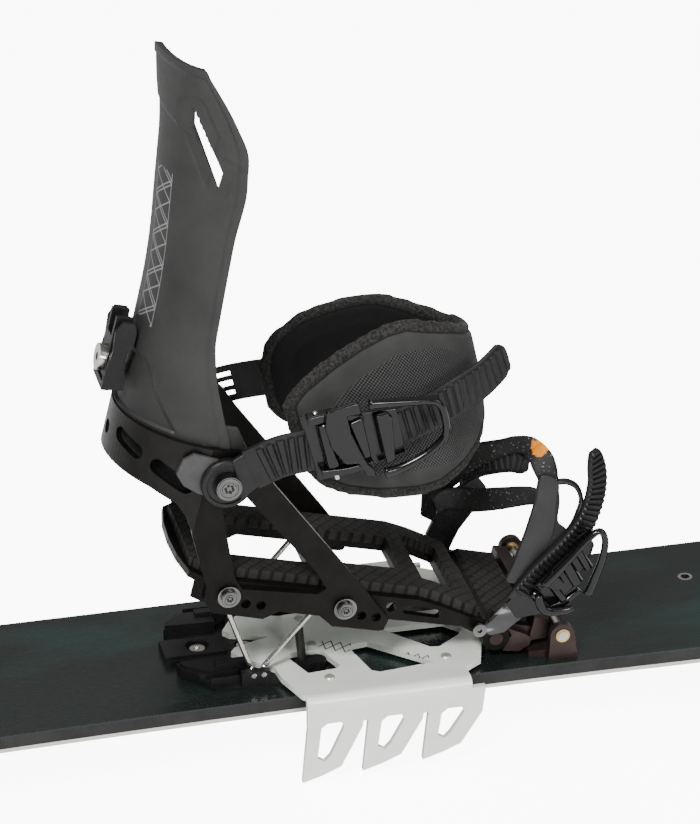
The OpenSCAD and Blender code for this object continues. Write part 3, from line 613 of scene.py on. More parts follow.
def highback_relief(v, a, u, rim):
    """How far the outer face stands proud, in mm, at a height v, an angle a and rim mm from the edge."""
    h = 0.0
    h += 0.9 * step(rim, 5.2, 4.4)                      # raised rim along the edge
    cap = 300 + 20 * abs(a) ** 1.5 if a > 0 else 300 - 22 * abs(a) ** 1.2
    h += 1.0 * step(v, cap - 0.7, cap + 0.7)            # band over the top
    if a < 0:
        d, _ = nearest((u, v), SLOT)
        if not inside((u, v), SLOT):
            h -= 1.0 * step(d, 7.4, 6.4) * (1 if u > 296 else 0.35)
    h -= 1.2 * step(v, 101, 96)                         # drawn in where it runs down inside the hoop
    facet = (v - 103) / 36
    if 0 < facet < 1.1:
        h -= 1.6 * step(abs(a) - 0.62 + 0.3 * facet, 0.04, 0.0) * step(facet, 1.05, 0.95)
    return h


def make_highback():
    """The shell with its relief and slot, and the two ears that reach down to the ankle bolts."""
    rows, cols, th = ((180, 140, 3.2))
    out, inn, attr = [], [], []
    for i in range(rows + 1):
        line = [-1 + 2 * j / cols for j in range(cols + 1)]
        for a in line:
            # the rounded corners at the two ends of the top edge
            top = TOP - 23 * max(0, a) - (1.5 if abs(a) > 0.985 else 0)
            v = BASE + (top - BASE) * i / rows
            u, y = shell_u_y(v, a, 0)
            ui, yi = shell_u_y(v, a, th)
            w = (WING_Y if a < 0 else INNER_Y)
            rim = min((1 - abs(a)) * 1.35 * lookup(v, w), top - v)
            h = highback_relief(v, a, u, rim)
            n = Vector((u - ui, y - yi)).normalized()
            out.append(L(u + (h - 0.4) * n.x, v, y + (h - 0.4) * n.y))
            inn.append(L(ui, v, yi))
            attr.append((math.radians(90 * a) * 45, v, rim))
    count = len(out)

    def at(i, j):
        return i * (cols + 1) + j

    def place(i, j):
        """The v, a, u and y at a row and a column, which may lie between two."""
        a = -1 + 2 * j / cols
        v = BASE + (TOP - BASE) * i / rows
        return v, a, *shell_u_y(v, a, 0)

    def open_cell(i, j):
        v, a, u, _ = place(i + 0.5, j + 0.5)
        return a < 0 and inside((u, v), SLOT)

    opened = {(i, j) for i in range(rows) for j in range(cols) if open_cell(i, j)}
    # points just beside the slot are drawn on to its edge, so that it is straight
    for i in range(rows + 1):
        for j in range(cols + 1):
            touch = [(i + p, j + q) in opened for p in (-1, 0) for q in (-1, 0)]
            if any(touch) and not all(touch):
                v, _, u, _ = place(i, j)
                _, (to_u, to_v) = nearest((u, v), SLOT)
                shift = L(to_u, to_v, 0) - L(u, v, 0)
                out[at(i, j)] += shift
                inn[at(i, j)] += shift
    faces = pierced_faces(rows, cols, opened, at, lambda i, j: count + at(i, j))
    o = piece("highback_shell", out + inn, faces, "back_support", "charcoal_shell", ["highback"],
        mat=highback_material())
    att = o.data.attributes.new("place", "FLOAT_VECTOR", "POINT")
    for k, t in enumerate(attr + attr):
        att.data[k].vector = (t[0], t[1], t[2])
    o.data.set_sharp_from_angle(angle=math.radians(45))
    for side, (y0, y1) in (("right", (-51.6, -48.8)), ("left", (48.8, 51.6))):
        plate(f"highback_ear_{side}", [(234, 83), (235, 101), (244, 114), (264, 114), (264, 96),
            (258, 78), (250, 70), (240, 71)], B, y0, y1, "back_support", "charcoal_shell",
            o.data.materials[0])


def make_heel_cup():
    """The foot of the highback, a curved wall that runs down inside the heel hoop."""
    verts, count = [], 60
    for i in range(count + 1):
        t = math.radians(-86 + 172 * i / count)
        low = 57 + 13 * math.cos(t) ** 2
        foot = CUP_R - 0.5 - 0.27 * (81 - low) * math.cos(t)    # room to lean forward inside the hoop
        for r, v in ((foot, low), (CUP_R, 97), (CUP_R - 2.4, 97), (foot - 2.4, low)):
            verts.append(L(HOOP_U + r * math.cos(t), v, r * math.sin(t)))
    piece("highback_cup", verts, loop_faces(count + 1, 4), "back_support", "charcoal_shell", (),
        MAT["black_nylon"], width=0.6)


# --- ankle pad ---

PAD_UP = [(-72, 30), (-67, 36), (-59, 42), (-38, 51), (-17, 58), (3, 62), (17, 61), (35, 52), (54, 43),
    (64, 38), (80, 33), (97, 29), (120, 28), (138, 33), (156, 42), (166, 46), (180, 49), (199, 50),
    (220, 48), (241, 37), (248, 26), (252, 12)]
PAD_LOW = [(-72, -8), (-69, -16), (-63, -27), (-49, -38), (-28, -47), (-3, -53), (13, -54), (32, -50),
    (50, -45), (62, -38), (80, -28), (90, -25), (110, -30), (130, -42), (150, -50), (180, -52),
    (200, -50), (220, -45), (239, -40), (249, -28), (252, -15)]
PAD_MESH = [(-48, -18), (-55, 0), (-50, 14), (-37.5, 25), (-23, 33), (4.5, 41), (24, 39), (38, 33),
    (60, 18), (80, 0), (76, -12), (50, -30), (27, -38), (1, -34), (-24, -29)]
PAD_TH = 8.0
PAD_BEND, PAD_R = 118, 62    # where the bend starts along the strap, and its radius


def pad_point(s, z, depth):
    """A point of the pad: s is mm along its two straight ends and degrees round its bend."""
    w = 60 - 0.19 * (z + 45) - depth
    r = PAD_R - depth
    if s <= 0:
        return A(PAD_BEND + s, -w, z)
    if s >= 180:
        return A(PAD_BEND - (s - 180), w, z)
    t = math.radians(s)
    return A(PAD_BEND + r * math.sin(t), -w * math.cos(t), z)


def to_strap(p):
    """The strap's x, y and z, in mm, of a point of the row."""
    x, z = p.x / MM - TOE_X, p.z / MM - TOE_Z
    u = -x * math.cos(PITCH) + z * math.sin(PITCH) - ANKLE_U
    v = x * math.sin(PITCH) + z * math.cos(PITCH) - ANKLE_V
    return -u * math.cos(STRAP) + v * math.sin(STRAP), p.y / MM, u * math.sin(STRAP) + v * math.cos(STRAP)


def unroll(p):
    """Where a point of the pad lies: s round it, z across it, and its depth below the outer face."""
    x, y, z = to_strap(p)
    w = 60 - 0.19 * (z + 45)
    if x < PAD_BEND:
        return (x - PAD_BEND, z, w + y) if y < 0 else (180 + PAD_BEND - x, z, w - y)
    s = math.degrees(math.atan2((x - PAD_BEND) / PAD_R, -y / w))
    return s, z, (1 - math.hypot((x - PAD_BEND) / PAD_R, y / w)) * 58


def outline_distance(q, poly):
    """For each point, how far it lies inside an outline, or outside it as a negative number."""
    p = np.array(poly, float)
    a, b = p, np.roll(p, -1, 0)
    best = np.full(len(q), 1e9)
    within = np.zeros(len(q), bool)
    for (x0, y0), (x1, y1) in zip(a, b):
        dx, dy = x1 - x0, y1 - y0
        t = np.clip(((q[:, 0] - x0) * dx + (q[:, 1] - y0) * dy) / (dx * dx + dy * dy + 1e-12), 0, 1)
        best = np.minimum(best, np.hypot(q[:, 0] - x0 - t * dx, q[:, 1] - y0 - t * dy))
        if y0 != y1:
            cross = (y0 > q[:, 1]) != (y1 > q[:, 1])
            within ^= cross & (q[:, 0] < x0 + (q[:, 1] - y0) * (x1 - x0) / (y1 - y0))
    return np.where(within, best, -best)


def inflate(o, pinned, voxel, pressure, cap, frames):
    """Lets a closed pad swell as cloth, held at its pinned rim, and keeps the result."""
    assign(o.modifiers.new("remesh", "REMESH"), mode="VOXEL", voxel_size=voxel * MM)
    assign(o.modifiers.new("even", "SMOOTH"), factor=0.5, iterations=9)
    me = baked(o)
    o.modifiers.clear()
    old, o.data = o.data, me
    for mat in old.materials:
        if not me.materials:
            me.materials.append(mat)
    start = [v.co.copy() for v in me.vertices]
    g = o.vertex_groups.new(name="held")
    g.add([int(k) for k in np.flatnonzero(pinned(start))], 1.0, "REPLACE")
    c = o.modifiers.new("cloth", "CLOTH")
    assign(c.settings, quality=6, mass=0.3, tension_stiffness=12, compression_stiffness=12,
        bending_stiffness=2, use_pressure=True, uniform_pressure_force=pressure,
        vertex_group_mass="held")
    c.settings.effector_weights.gravity = 0
    assign(c.point_cache, frame_start=1, frame_end=frames)
    for f in range(1, frames + 1):
        bpy.context.scene.frame_set(f)
    dg = bpy.context.evaluated_depsgraph_get()
    ev = o.evaluated_get(dg)
    end = [v.co.copy() for v in ev.data.vertices]
    o.modifiers.clear()
    o.vertex_groups.clear()
    bpy.context.scene.frame_set(1)
    for v, a, b in zip(me.vertices, start, end):
        d = b - a
        v.co = a + (d if d.length < cap * MM else d.normalized() * cap * MM)
    assign(o.modifiers.new("sub", "SUBSURF"), levels=1, render_levels=1)
    fine = baked(o)
    o.modifiers.clear()
    o.data = fine
    fine.shade_smooth()
    return o


def make_pad():
    cols, rows = 150, 30
    verts = []
    for i in range(cols + 1):
        s = -72 + 324 * i / cols
        zu, zl = soft_lookup(s, PAD_UP, 4), soft_lookup(s, PAD_LOW, 4)
        ring = []
        for side in (0, 1):
            for j in range(rows + 1):
                t = j / rows if side == 0 else 1 - j / rows
                z = zl + (zu - zl) * t
                rim = min(t, 1 - t) * (zu - zl)
                half = PAD_TH / 2 * min(1.0, 0.45 + 0.55 * math.sqrt(min(1.0, rim / 8)))
                ring.append(pad_point(s, z, 0.5 + PAD_TH / 2 + (half if side else -half)))
        verts += ring
    faces = loop_faces(cols + 1, 2 * rows + 2)
    o = piece("ankle_pad_padding", verts, faces, "ankle_strap", "strap_fabric", mat=pad_material())
    border = [(s * (1.08 if 0 < s < 180 else 1.0) + (14.4 if s >= 180 else 0), z) for s, z in PAD_UP
        + PAD_LOW[::-1]]

    def flat(s):
        return s if s <= 0 else s * 1.08 if s < 180 else s + 14.4

    def held(cos):
        q = np.array([(flat(s), z) for s, z, depth in map(unroll, cos)])
        return outline_distance(q, border) < 7.5

    inflate(o, held, 3.6, 4.0, 5.0, 16)
    fine = o.data
    att = fine.attributes.new("place", "FLOAT_VECTOR", "POINT")
    where = [unroll(v.co) for v in fine.vertices]
    q = np.array([(flat(s), z) for s, z, depth in where])
    d = outline_distance(q, border)
    md = outline_distance(q, PAD_MESH)
    lining = np.array([step(w[2], 4.3, 5.2) for w in where])
    d = np.maximum(d, 0)
    att.data.foreach_set("vector", np.stack([d, -md, lining], 1).astype(np.float32).ravel())
    # the seam beside the tape is drawn in, and the tape lies thinner than the foam
    co = np.array([v.co for v in fine.vertices])
    no = np.array([v.normal for v in fine.vertices])
    pull = np.exp(-((d - 8.6) / 1.5) ** 2) * 1.3
    co -= no * pull[:, None] * MM
    fine.vertices.foreach_set("co", co.ravel())
    fine.update()
    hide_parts("ankle_pad")
    return o


# --- parts that the straps are made of ---

def strap_dir(x, y, z):
    return (A(x, y, z) - A(0, 0, 0)).normalized()


def toothed(name, path, widths, toothed_from, pitch, across, body, slot, replaces=(), mat=None,
            thick=3.0, tooth=1.5, rim=2.2, tip=8.0, flip=1):
    """A strap with cross ribs: widths is [(distance, width)], ribs start at a distance along it."""
    samples = 500
    pts = spline(path, samples)
    run = [0.0]
    for a, b in zip(pts, pts[1:]):
        run.append(run[-1] + (b - a).length / MM)
    total = run[-1]
    acr_run = [total * k / (len(across) - 1) for k in range(len(across))]
    want, d = [], 0.0
    while d < total:
        want.append(d)
        if d >= toothed_from:
            f = (d - toothed_from) % pitch / pitch
            d += 0.45 if f < 0.3 or f > 0.7 else 0.9
        else:
            d += 2.0
    want.append(total)
    path2, acr2, info = [], [], []
    j = 0
    for d in want:
        while j < samples - 2 and run[j + 1] < d:
            j += 1
        t = (d - run[j]) / max(1e-9, run[j + 1] - run[j])
        path2.append(pts[j].lerp(pts[j + 1], min(1, t)))
        k = min(len(across) - 2, int(d / total * (len(across) - 1)))
        q = (d - acr_run[k]) / (acr_run[k + 1] - acr_run[k])
        acr2.append(across[k].lerp(across[k + 1], q).normalized())
        w = soft_lookup(d, widths, 3) / 2
        left = total - d
        if left < tip:
            w *= math.sqrt(max(0.03, 1 - ((tip - left) / tip) ** 2 * 0.85))
        h = 0.0
        if d >= toothed_from:
            f = (d - toothed_from) % pitch / pitch
            h = tooth * (step(f, 0.0, 0.18) - step(f, 0.62, 0.9))
        if left < 2.0:
            h *= left / 2.0
        info.append((w, h))

    def section(i):
        w, h = info[i]
        t = thick / 2
        wi = max(0.5, w - rim)
        f = flip
        return [(-w, -t * f), (w, -t * f), (w + 0.3, 0), (w, t * f * 0.8), (wi + 0.5, t * f), (wi, (t
            + h) * f), (-wi, (t + h) * f), (-wi - 0.5, t * f), (-w, t * f * 0.8), (-w - 0.3, 0)]

    verts = sweep(path2, acr2, section)
    o = piece(name, verts, loop_faces(len(path2), 10), body, slot, replaces, mat or RIB)
    o.data.set_sharp_from_angle(angle=math.radians(38))
    return o


def disc(name, centre, axis, radii, body, slot, mat, replaces=(), n=48):
    """A turned piece: radii is [(radius, height along the axis)] from its middle outwards."""
    axis = axis.normalized()
    a = axis.orthogonal().normalized()
    b = axis.cross(a)
    verts = []
    for r, h in radii:
        for k in range(n):
            t = 2 * math.pi * k / n
            verts.append(centre + (a * math.cos(t) + b * math.sin(t)) * r * MM + axis * h * MM)
    o = piece(name, verts, loop_faces(len(radii), n), body, slot, replaces, mat)
    o.data.set_sharp_from_angle(angle=math.radians(35))
    return o


def rod(name, a, b, r, body, mat=None, slot="black_nylon", n=20, end=0.6):
    d = (b - a)
    length = d.length / MM
    return disc(name, a, d, [(r - end, 0), (r, end), (r, length - end), (r - end, length)], body, slot,
        mat or GLOSS, n=n)


def arc_bar(name, place, y, path, half, depth, body, replaces=(), n=72, sides=14):
    """A rounded bar bent along a path in a frame's x and z, with half its width at the ends and midway."""
    pts = spline([place(x, y, z) for x, z in path], n)
    face = (place(0, 1, 0) - place(0, 0, 0)).normalized()
    across = [(pts[min(i + 1, n - 1)] - pts[max(i - 1, 0)]).normalized().cross(face) for i in range(n)]

    def section(i):
        w = half[0] + (half[1] - half[0]) * math.sin(math.pi * i / (n - 1))
        turns = [2 * math.pi * k / sides for k in range(sides)]
        return [(w * math.cos(t), depth * math.sin(t)) for t in turns]
    return piece(name, sweep(pts, across, section), loop_faces(n, sides), body, "black_nylon", replaces,
        GLOSS)


def plate(name, outline, place, y0, y1, body, slot, mat, replaces=(), width=1.0):
    """A flat plate between y0 and y1, from its outline in a frame's x and z."""
    a = [place(x, y0, z) for x, z in outline]
    b = [place(x, y1, z) for x, z in outline]
    return piece(name, a + b, loop_faces(2, len(a)), body, slot, replaces, mat, width=width)


def ankle_part(name, outline, y0, y1, width, replaces=(), body="ankle_strap"):
    return plate(name, outline, A, y0, y1, body, "black_nylon", GLOSS, replaces, width)


def toe_part(name, outline, y0, y1, width, replaces=(), body="toe_strap"):
    return plate(name, outline, B, y0, y1, body, "black_nylon", GLOSS, replaces, width)


def slotted_strap(name, path, across, levels, thick, gaps):
    """A flat strap along a path, cut through at the cells that gaps lists by place and level."""
    verts, rows = [], len(levels)
    for i, p in enumerate(path):
        t = (path[min(i + 1, len(path) - 1)] - path[max(i - 1, 0)]).normalized()
        out = t.cross(across).normalized() * thick / 2 * MM
        verts += [p + across * z * MM + out for z in levels]
        verts += [p + across * z * MM - out for z in levels]

    def front(i, j):
        return i * 2 * rows + j

    faces = pierced_faces(len(path) - 1, rows - 1, gaps, front, lambda i, j: front(i, j) + rows)
    return piece(name, verts, faces, "ankle_strap", "strap_urethane", ["ankle_far_strap"], RIB, width=0.5)


def ribbon(name, upper, lower, thick, body, slot, mat, replaces=(), n=90, centre=(84, 30, 0)):
    """A moulded band between two smooth edges, thick away from the toe, with rounded rims."""
    a = spline([L(*p) for p in upper], n)
    b = spline([L(*p) for p in lower], n)
    c = L(*centre)
    verts = []
    across = 8
    for i in range(n):
        t = (a[min(i + 1, n - 1)] - a[max(i - 1, 0)]).normalized()
        w = (a[i] - b[i]).normalized()
        out = t.cross(w).normalized()
        if out.dot(a[i] - c) < 0:
            out = -out
        ring = []
        for side in (1, -1):
            ks = range(across + 1) if side > 0 else range(across, -1, -1)
            for k in ks:
                f = k / across
                crown = math.sqrt(max(0.0, 1 - (2 * f - 1) ** 4))
                ring.append(b[i].lerp(a[i], f) + out * side * thick * 0.5 * (0.35 + 0.65 * crown) * MM)
        verts += ring
    return piece(name, verts, loop_faces(n, 2 * (across + 1)), body, slot, replaces, mat)


# --- ankle strap ---

def make_ankle_strap():
    """The ladder, its buckle with a lever, and the far side's plain strap."""
    up = strap_dir(0, 0, -1)
    path = [A(16, -64.6, 5.5), A(34, -65.5, 8.6), A(48, -66, 8), A(77, -67, 5), A(100, -67.4, 5.2),
        A(118, -66.8, 6), A(136, -63.5, 7.6), A(152, -57.5, 8.4), A(170, -48, 8.6), A(184, -38, 10.2),
        A(193, -30, 12)]
    across = [up] * 12
    toothed("ankle_ladder_strap", path, [(0, 28), (40, 28), (60, 26.5), (75, 25), (220, 24)], 8, 5.8,
        across, "ankle_strap", "strap_urethane", ["ankle_ladder"], flip=1)
    # the round end over the ankle bolt
    disc("ankle_strap_eye", A(0, -58.2, 0), strap_dir(0, -1, 0), [(8, 0), (15.6, 0), (16.2, 1.0),
        (16.2, 5.6), (15.4, 6.6), (13.2, 7.0), (12.6, 6.2), (9.2, 6.2), (8.8, 5.0), (8, 5.0)],
        "ankle_strap", "strap_urethane", RIB)
    # the neck between the eye and the ribs
    plate("ankle_strap_neck", [(6, -13), (20, -7), (20, 19), (6, 15)], A, -65.4, -61.5, "ankle_strap",
        "strap_urethane", RIB, width=1.2)
    # ratchet base, with two raised cheeks
    ankle_part("ratchet_base", [(53, 34), (70, 33), (92, 24), (112, 20), (112, -12), (92, -13), (74, -15),
        (55, -13)], -70.4, -68.2, 1.0, ["ankle_buckle"])
    ankle_part("ratchet_cheek_high", [(56, 35), (72, 33.5), (90, 26), (90, 21), (72, 27.5), (56, 29)],
        -77, -69, 1.2)
    ankle_part("ratchet_cheek_low", [(57, -8), (72, -11), (90, -12), (90, -7), (72, -6), (57, -3)], -77,
        -69, 1.2)
    for k, (x, y, r) in enumerate([(65.5, -73.4, 4.6), (83, -73.2, 3.6)]):
        rod(f"ratchet_barrel_{k}", A(x, y, 27.5 - k * 2), A(x, y, -3.5 - k * 2), r, "ankle_strap")
    for k, (x, z0, z1) in enumerate([(62, 36, 31), (66, -9, -14)]):
        rod(f"ratchet_pin_{k}", A(x, -73, z0), A(x, -73, z1), 1.7, "ankle_strap", MAT["stainless"],
            "stainless")
    # pawl under the lever
    ankle_part("ratchet_pawl", [(70, 6), (80, 12), (86, 12), (88, 2), (86, -4), (80, -6), (71, -4)], -76,
        -70.6, 1.4, ["ankle_pawl"])
    # the fixed yoke, then the lever with its finger ring, which turns in front of it
    ankle_part("ratchet_yoke", [(68, 37), (84, 37.6), (88.8, 37), (88.8, 29), (80, 30), (80, 18), (83, 4),
        (86, -6), (88.8, -11), (88.8, -17), (83, -13), (80, -4), (72, -2), (66, 12), (65, 26)], -81, -77,
        1.4)
    ankle_part("ratchet_drum", [(80, 24), (89, 25.4), (89, -2.6), (84, -3)], -79.5, -70, 1.6)
    arc_bar("ratchet_ring", A, -79.5, [(94.6, 33.4), (106, 30.6), (130, 24), (137, 19.4), (138.6, 8),
        (136, -3), (124, -11), (107, -15.8), (94.6, -16)], (3.3, 2.3), 2.6, "ankle_buckle_lever",
        ["ankle_lever"])
    ankle_part("ratchet_lever_block", [(97, 24), (105, 24), (107, 20), (103, -10), (97, -11)], -80, -75.5,
        1.6, body="ankle_buckle_lever")
    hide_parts("ankle_buckle_pins")
    # plain strap that carries the far side of the pad, with three slots
    path = spline([A(0, 63, 0), A(14, 63.2, 0), A(28, 62.6, 0), A(42, 59.5, 0), A(56, 55, 0),
        A(70, 53.6, 0)], 72)
    levels = [-13, -9, -5, -2.4, 2.4, 5, 9, 13]
    gaps = {(i, j) for i in range(22, 31) for j in (1, 3, 5)}
    slotted_strap("ankle_far_webbing", path, up, levels, 2.6, gaps)
    disc("ankle_far_eye", A(0, 61.4, 0), strap_dir(0, 1, 0), [(4, 0), (15.2, 0), (15.8, 0.8), (15.8, 3.6),
        (15, 4.4), (4, 4.4)], "ankle_strap", "strap_urethane", RIB)


# --- toe strap ---

def make_toe_strap():
    """The toe bands, the side panel, the ladder and its buckle with a lever."""
    cap = speckled("toe_cap_rubber", 0.006, 0.014, 0.68, L(40, 117, -33))
    toe_far = speckled("toe_far_rubber", 0.005, 0.010, 0.70)
    # upper band, from the top of the side panel over the toe to the far side
    outer = [(26, 94, -45), (25, 101, -42), (31, 114.6, -38), (42, 120.5, -28), (51, 116, -18),
        (57.6, 108.9, -10), (68, 97, 5), (74, 82, 20), (80, 62, 36), (78, 44, 47), (72, 20, 53)]
    inner = [(36, 91, -45), (37.5, 97, -42), (42, 103, -38), (44.5, 108, -28), (48, 104, -18),
        (53, 97, -10), (61, 80, 5), (64, 62, 20), (66, 44, 36), (64, 30, 47), (60, 16, 53)]
    ribbon("toe_cap_upper", outer, inner, 3.4, "toe_strap", "toe_rubber", cap, ["toe_cap"])
    outer = [(33, 91, -44), (40, 90, -36), (52, 80, -20), (61, 70, -4), (67, 62, 12), (70, 52, 28),
        (70, 38, 44)]
    inner = [(32, 82, -44), (38, 77, -36), (49, 64, -20), (58, 53, -4), (63, 45, 12), (64, 37, 28),
        (62, 26, 44)]
    ribbon("toe_cap_lower", outer, inner, 3.2, "toe_strap", "toe_rubber", toe_far)
    # ribbed tongue between the two bands
    path = [L(65, 66, 22), L(60, 78, 12), L(54, 88, 0), L(46, 96, -12), L(39, 98, -22)]
    acr = [(L(65, 66, 22) - L(68, 54, 26)).normalized()] * 5
    toothed("toe_tongue", path, [(0, 16), (60, 15)], 4, 5.0, acr, "toe_strap", "strap_urethane", (), RIB,
        flip=-1)
    # side panel that runs down to the buckle
    panel = [(38.5, 102, -43), (26.7, 100, -44), (24.4, 87.7, -47), (23.9, 74, -51), (23.9, 62, -53),
        (25.9, 46.9, -55), (30.4, 33.6, -57), (47, 31.7, -57), (45.5, 43.9, -55), (41.7, 66, -51),
        (39, 85.5, -46)]
    n = Vector((0.35, -0.92, 0.15)).normalized()
    verts, faces = slab(spline([L(*p) for p in panel], 72, True), 2.6, n)
    grey = simple("toe_panel_grey", (0.007, 0.007, 0.0068), (0.014, 0.014, 0.0135), (0.34, 0.48),
        grain=900, spec=0.45)
    piece("toe_panel", verts, faces, "toe_strap", "grey_nylon", ["toe_side_panel"], grey, width=0.9)
    # the front of the side panel, darker, down to the ladder
    dark = [(27, 99, -44.5), (23, 88, -47.5), (22, 76, -51), (17, 73, -55), (12, 66, -58),
        (20, 50, -58.5), (32, 34, -58), (25.5, 47, -56), (24.5, 62, -54), (24.5, 76, -51)]
    verts, faces = slab(spline([L(*p) for p in dark], 72, True), 2.0, n)
    piece("toe_panel_edge", verts, faces, "toe_strap", "black_nylon", (), RIB, width=0.7)
    # thin loop in front of the panel
    loop = [L(28, 98, -43), L(20, 100.5, -44.5), L(13, 98.5, -46.5), L(9.5, 92, -51), L(11, 84, -55),
        L(14, 74, -57), L(20, 64, -57.5)]
    pts = spline(loop, 60)

    def section(i):
        return [(2.6 * math.cos(k * math.pi / 4), 1.6 * math.sin(k * math.pi / 4)) for k in range(8)]
    piece("toe_panel_loop", sweep(pts, [Vector((0.2, 0.9, 0.3))] * 60, section), loop_faces(60, 8),
        "toe_strap", "black_nylon", (), RIB)
    # ladder, with its ribs facing forwards and outwards
    path = [L(37, 20, -60), L(27, 40, -60.5), L(15.5, 58, -60), L(6.5, 75, -57.5), L(2.5, 92, -54.5),
        L(3, 107, -52), L(6.5, 118, -50.5), L(10.5, 127, -50)]
    want = Vector((0.50, -0.80, 0.30)).normalized()
    acr = []
    for i, p in enumerate(path):
        t = (path[min(i + 1, 7)] - path[max(i - 1, 0)]).normalized()
        acr.append(t.cross(want).normalized())
    toothed("toe_ladder_strap", path, [(0, 18), (60, 18), (90, 17), (110, 15)], 6, 3.6, acr, "toe_strap",
        "strap_urethane", ["toe_ladder"], RIB, flip=1, thick=2.6, tooth=1.5, rim=1.4, tip=14)
    # ratchet base and its parts
    toe_part("toe_ratchet_base", [(37, 31), (44, 18), (34, 8), (19, 13), (8, 23), (-3, 52), (-4, 66),
        (4, 76), (14, 64), (26, 46)], -61.5, -59.8, 0.8, ["toe_buckle"])
    toe_part("toe_ratchet_wall", [(31, 35), (18, 55), (3, 78), (0, 76), (12, 57), (26, 35)], -67, -61, 1.2)
    toe_part("toe_ratchet_low", [(20, 15), (6, 22), (-3, 34), (0, 36), (8, 26), (20, 20)], -66, -61, 1.2)
    for k, ((a, c), (e, f)) in enumerate([((30, 30), (16, 19)), ((23, 41), (8, 27)), ((15, 54), (2, 40)),
                                          ((9, 64), (-3, 51))]):
        rod(f"toe_barrel_{k}", B(a, -64.5, c), B(e, -64.5, f), 3.0 if k != 2 else 4.2, "toe_strap")
    toe_part("toe_ratchet_pawl", [(22, 43), (14, 53), (2, 41), (9, 29)], -66, -61.8, 1.2, ["toe_pawl"])
    arc_bar("toe_yoke", B, -68.6, [(2, 23.8), (5, 22), (10, 20.4), (18, 19.4), (24, 23.4), (27, 30)],
        (2.6, 3.2), 2.3, "toe_strap")
    arc_bar("toe_ring", B, -69, [(25.4, 38), (15.2, 55.2), (5.4, 73), (0, 79.6), (-4, 78.2), (-7, 72),
        (-8.2, 61), (-7.2, 48), (-6.2, 40), (-5.2, 34.8)], (3.2, 2.2), 2.4, "toe_buckle_lever",
        ["toe_lever"])
    toe_part("toe_lever_block", [(28, 37.6), (23, 49), (12, 41), (15, 34.6)], -70, -66.8, 1.2,
        body="toe_buckle_lever")
    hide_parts("toe_buckle_pins")
    # clear connector between the bolt and the ratchet
    plate("toe_connector_clear", [(55, -4), (50.5, 2), (43.2, 13.5), (34.7, 27.5), (25.3, 23), (28.5, 8),
        (38, -4.5), (47, -8)], B, -58.4, -55.4, "toe_strap", "clear_smoke", connector_material(),
        ["toe_connector"], 1.0)
    plate("toe_connector_slot", [(37, 14), (33, 20.5), (30.5, 19), (34.5, 12.5)], B, -58.9, -58.2,
        "toe_strap", "stainless", MAT["stainless"], (), 0.3)


# --- carried-over parts ---

HOOP = simple("hoop_black", (0.004, 0.0037, 0.0032), (0.009, 0.0084, 0.0074), (0.3, 0.42), 0.4, spec=0.32)
TREAD = tread_material()
for name, mat in (("heel_hoop", HOOP), ("heel_footpad", TREAD), ("toe_footpad", TREAD), ("ramp_pad", TREAD),
                  ("topsheet", topsheet_material()), ("crampon", crampon_material())):
    nodes[name].data.materials[0] = mat

BOLT = simple("bolt_black_chrome", 0.10, (0.22, 0.22, 0.21), (0.14, 0.26), 1.0)
for name in ("arm_bolts", "ankle_bolts", "toe_strap_bolts"):
    nodes[name].data.materials[0] = BOLT


def bolt_face(name, centre, axis, r, body, slot_name):
    """A stepped head with a star recess, whose lobes are near-black pegs as painted shade, set on the head
    of a CAD bolt.
    """
    a = axis.normalized()
    disc(name, centre, a, [(0.4, -0.4), (r * 0.34, -0.4), (r * 0.36, 0.3), (r * 0.58, 0.5),
        (r * 0.62, 0.1), (r * 0.74, 0.1), (r * 0.78, 0.5), (r * 0.95, 0.5), (r * 0.98, 0.2),
        (r * 0.98, -0.6)], body, slot_name, BOLT)
    # painted shade: the recess's six lobes are near-black gloss pegs set where the recess is hollow
    for k in range(6):
        t = math.pi * k / 3
        o = a.orthogonal().normalized()
        p = a.cross(o)
        e = (o * math.cos(t) + p * math.sin(t)) * r * 0.33 * MM
        disc(f"{name}_painted_shade_lobe_{k}", centre + e - a * 0.3 * MM, a, [(0.2, 0), (r * 0.12, 0.0),
            (r * 0.12, 0.75), (0.2, 0.75)], body, slot_name, GLOSS, n=12)


# --- the whole binding ---

make_highback()
make_heel_cup()
make_pad()
make_ankle_strap()
make_toe_strap()

ARM_BOLTS, ARM_BOLT_V = (225, 148), 1.2
for side, tag in ((-1, "right"), (1, "left")):
    out = Vector((0, side, 0))
    bolt_face(f"ankle_bolt_face_{tag}", B(ANKLE_U, side * 70.5, ANKLE_V), out, 7.6, "binding", "stainless")
    for k, u in enumerate(ARM_BOLTS):
        bolt_face(f"arm_bolt_face_{tag}_{k}", B(u, side * 61.6, ARM_BOLT_V), out, 5.2, "binding",
            "stainless")

for name, obj in nodes.items():
    if name in ("topsheet", "core", "base_sheet", "sidewall", "steel_edge"):
        continue
    bevel(obj, 0.5 * MM, 2, 35)


# --- camera, light, floor ---

FLOOR_Z = -0.0445


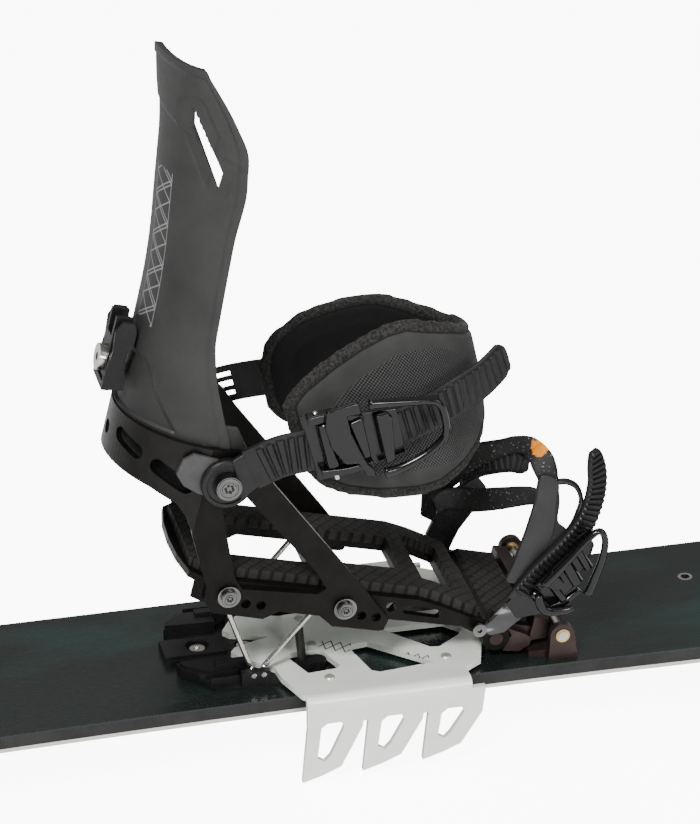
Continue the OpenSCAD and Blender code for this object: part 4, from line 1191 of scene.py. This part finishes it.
def studio():
    """The camera, four soft lights, a pale tent and a floor that the camera sees as white."""
    cam = bpy.data.cameras.new("camera")
    assign(cam, lens=152.9, sensor_width=36, clip_end=50)
    o = add_object("camera", cam)
    az, el, dist = math.radians(-13.7), math.radians(26.6), 2.219
    back = Vector((math.sin(az) * math.cos(el), -math.cos(az) * math.cos(el), math.sin(el)))
    target = Vector((0, 0, 0.175))
    o.location = target + back * dist
    o.rotation_euler = back.to_track_quat("Z", "Y").to_euler()
    bpy.context.scene.camera = o

    world = bpy.data.worlds.new("world")
    world.use_nodes = True
    sky, back_light = world.node_tree, world.node_tree.nodes["Background"]
    back_light.inputs["Color"].default_value = (1, 1, 1, 1)
    way = sky.nodes.new("ShaderNodeTexCoord")
    _, _, height = split(sky, way.outputs["Generated"])
    # brighter overhead than round the sides, like a tent with dark flags
    put(sky, remap(sky, height, 0.10, 0.62, 0.1, 0.95), back_light.inputs["Strength"])
    bpy.context.scene.world = world

    def area(name, loc, size, power, look=(0, 0, 0.15)):
        lamp = bpy.data.lights.new(name, "AREA")
        assign(lamp, size=size, energy=power)
        ob = add_object(name, lamp)
        ob.location = loc
        ob.rotation_euler = (Vector(loc) - Vector(look)).to_track_quat("Z", "Y").to_euler()

    area("key", (-1.1, -1.7, 2.5), 0.7, 120)
    area("strip", (0.5, -2.6, 1.0), 0.45, 26)
    area("fill", (2.2, -1.4, 1.4), 1.6, 22)
    area("rim", (0.3, 2.4, 3.4), 1.2, 18)

    me = bpy.data.meshes.new("floor")
    s = 12
    me.from_pydata([(-s, -s, 0), (s, -s, 0), (s, s, 0), (-s, s, 0)], [], [(0, 1, 2, 3)])
    floor = add_object("floor", me)
    floor.location = (0, 0, FLOOR_Z)
    m, nt, b = new_material("floor")
    vec = coords(nt)
    put(nt, ramp(nt, noise(nt, vec, 3), (0.3, 0.86), (0.7, 0.9)), b.inputs["Base Color"])
    b.inputs["Roughness"].default_value = 0.9
    b.inputs["Emission Color"].default_value = (1, 1, 1, 1)
    lp = nt.nodes.new("ShaderNodeLightPath")
    put(nt, remap(nt, lp.outputs["Is Camera Ray"], 0.12, 9.0), b.inputs["Emission Strength"])
    me.materials.append(m)


studio()

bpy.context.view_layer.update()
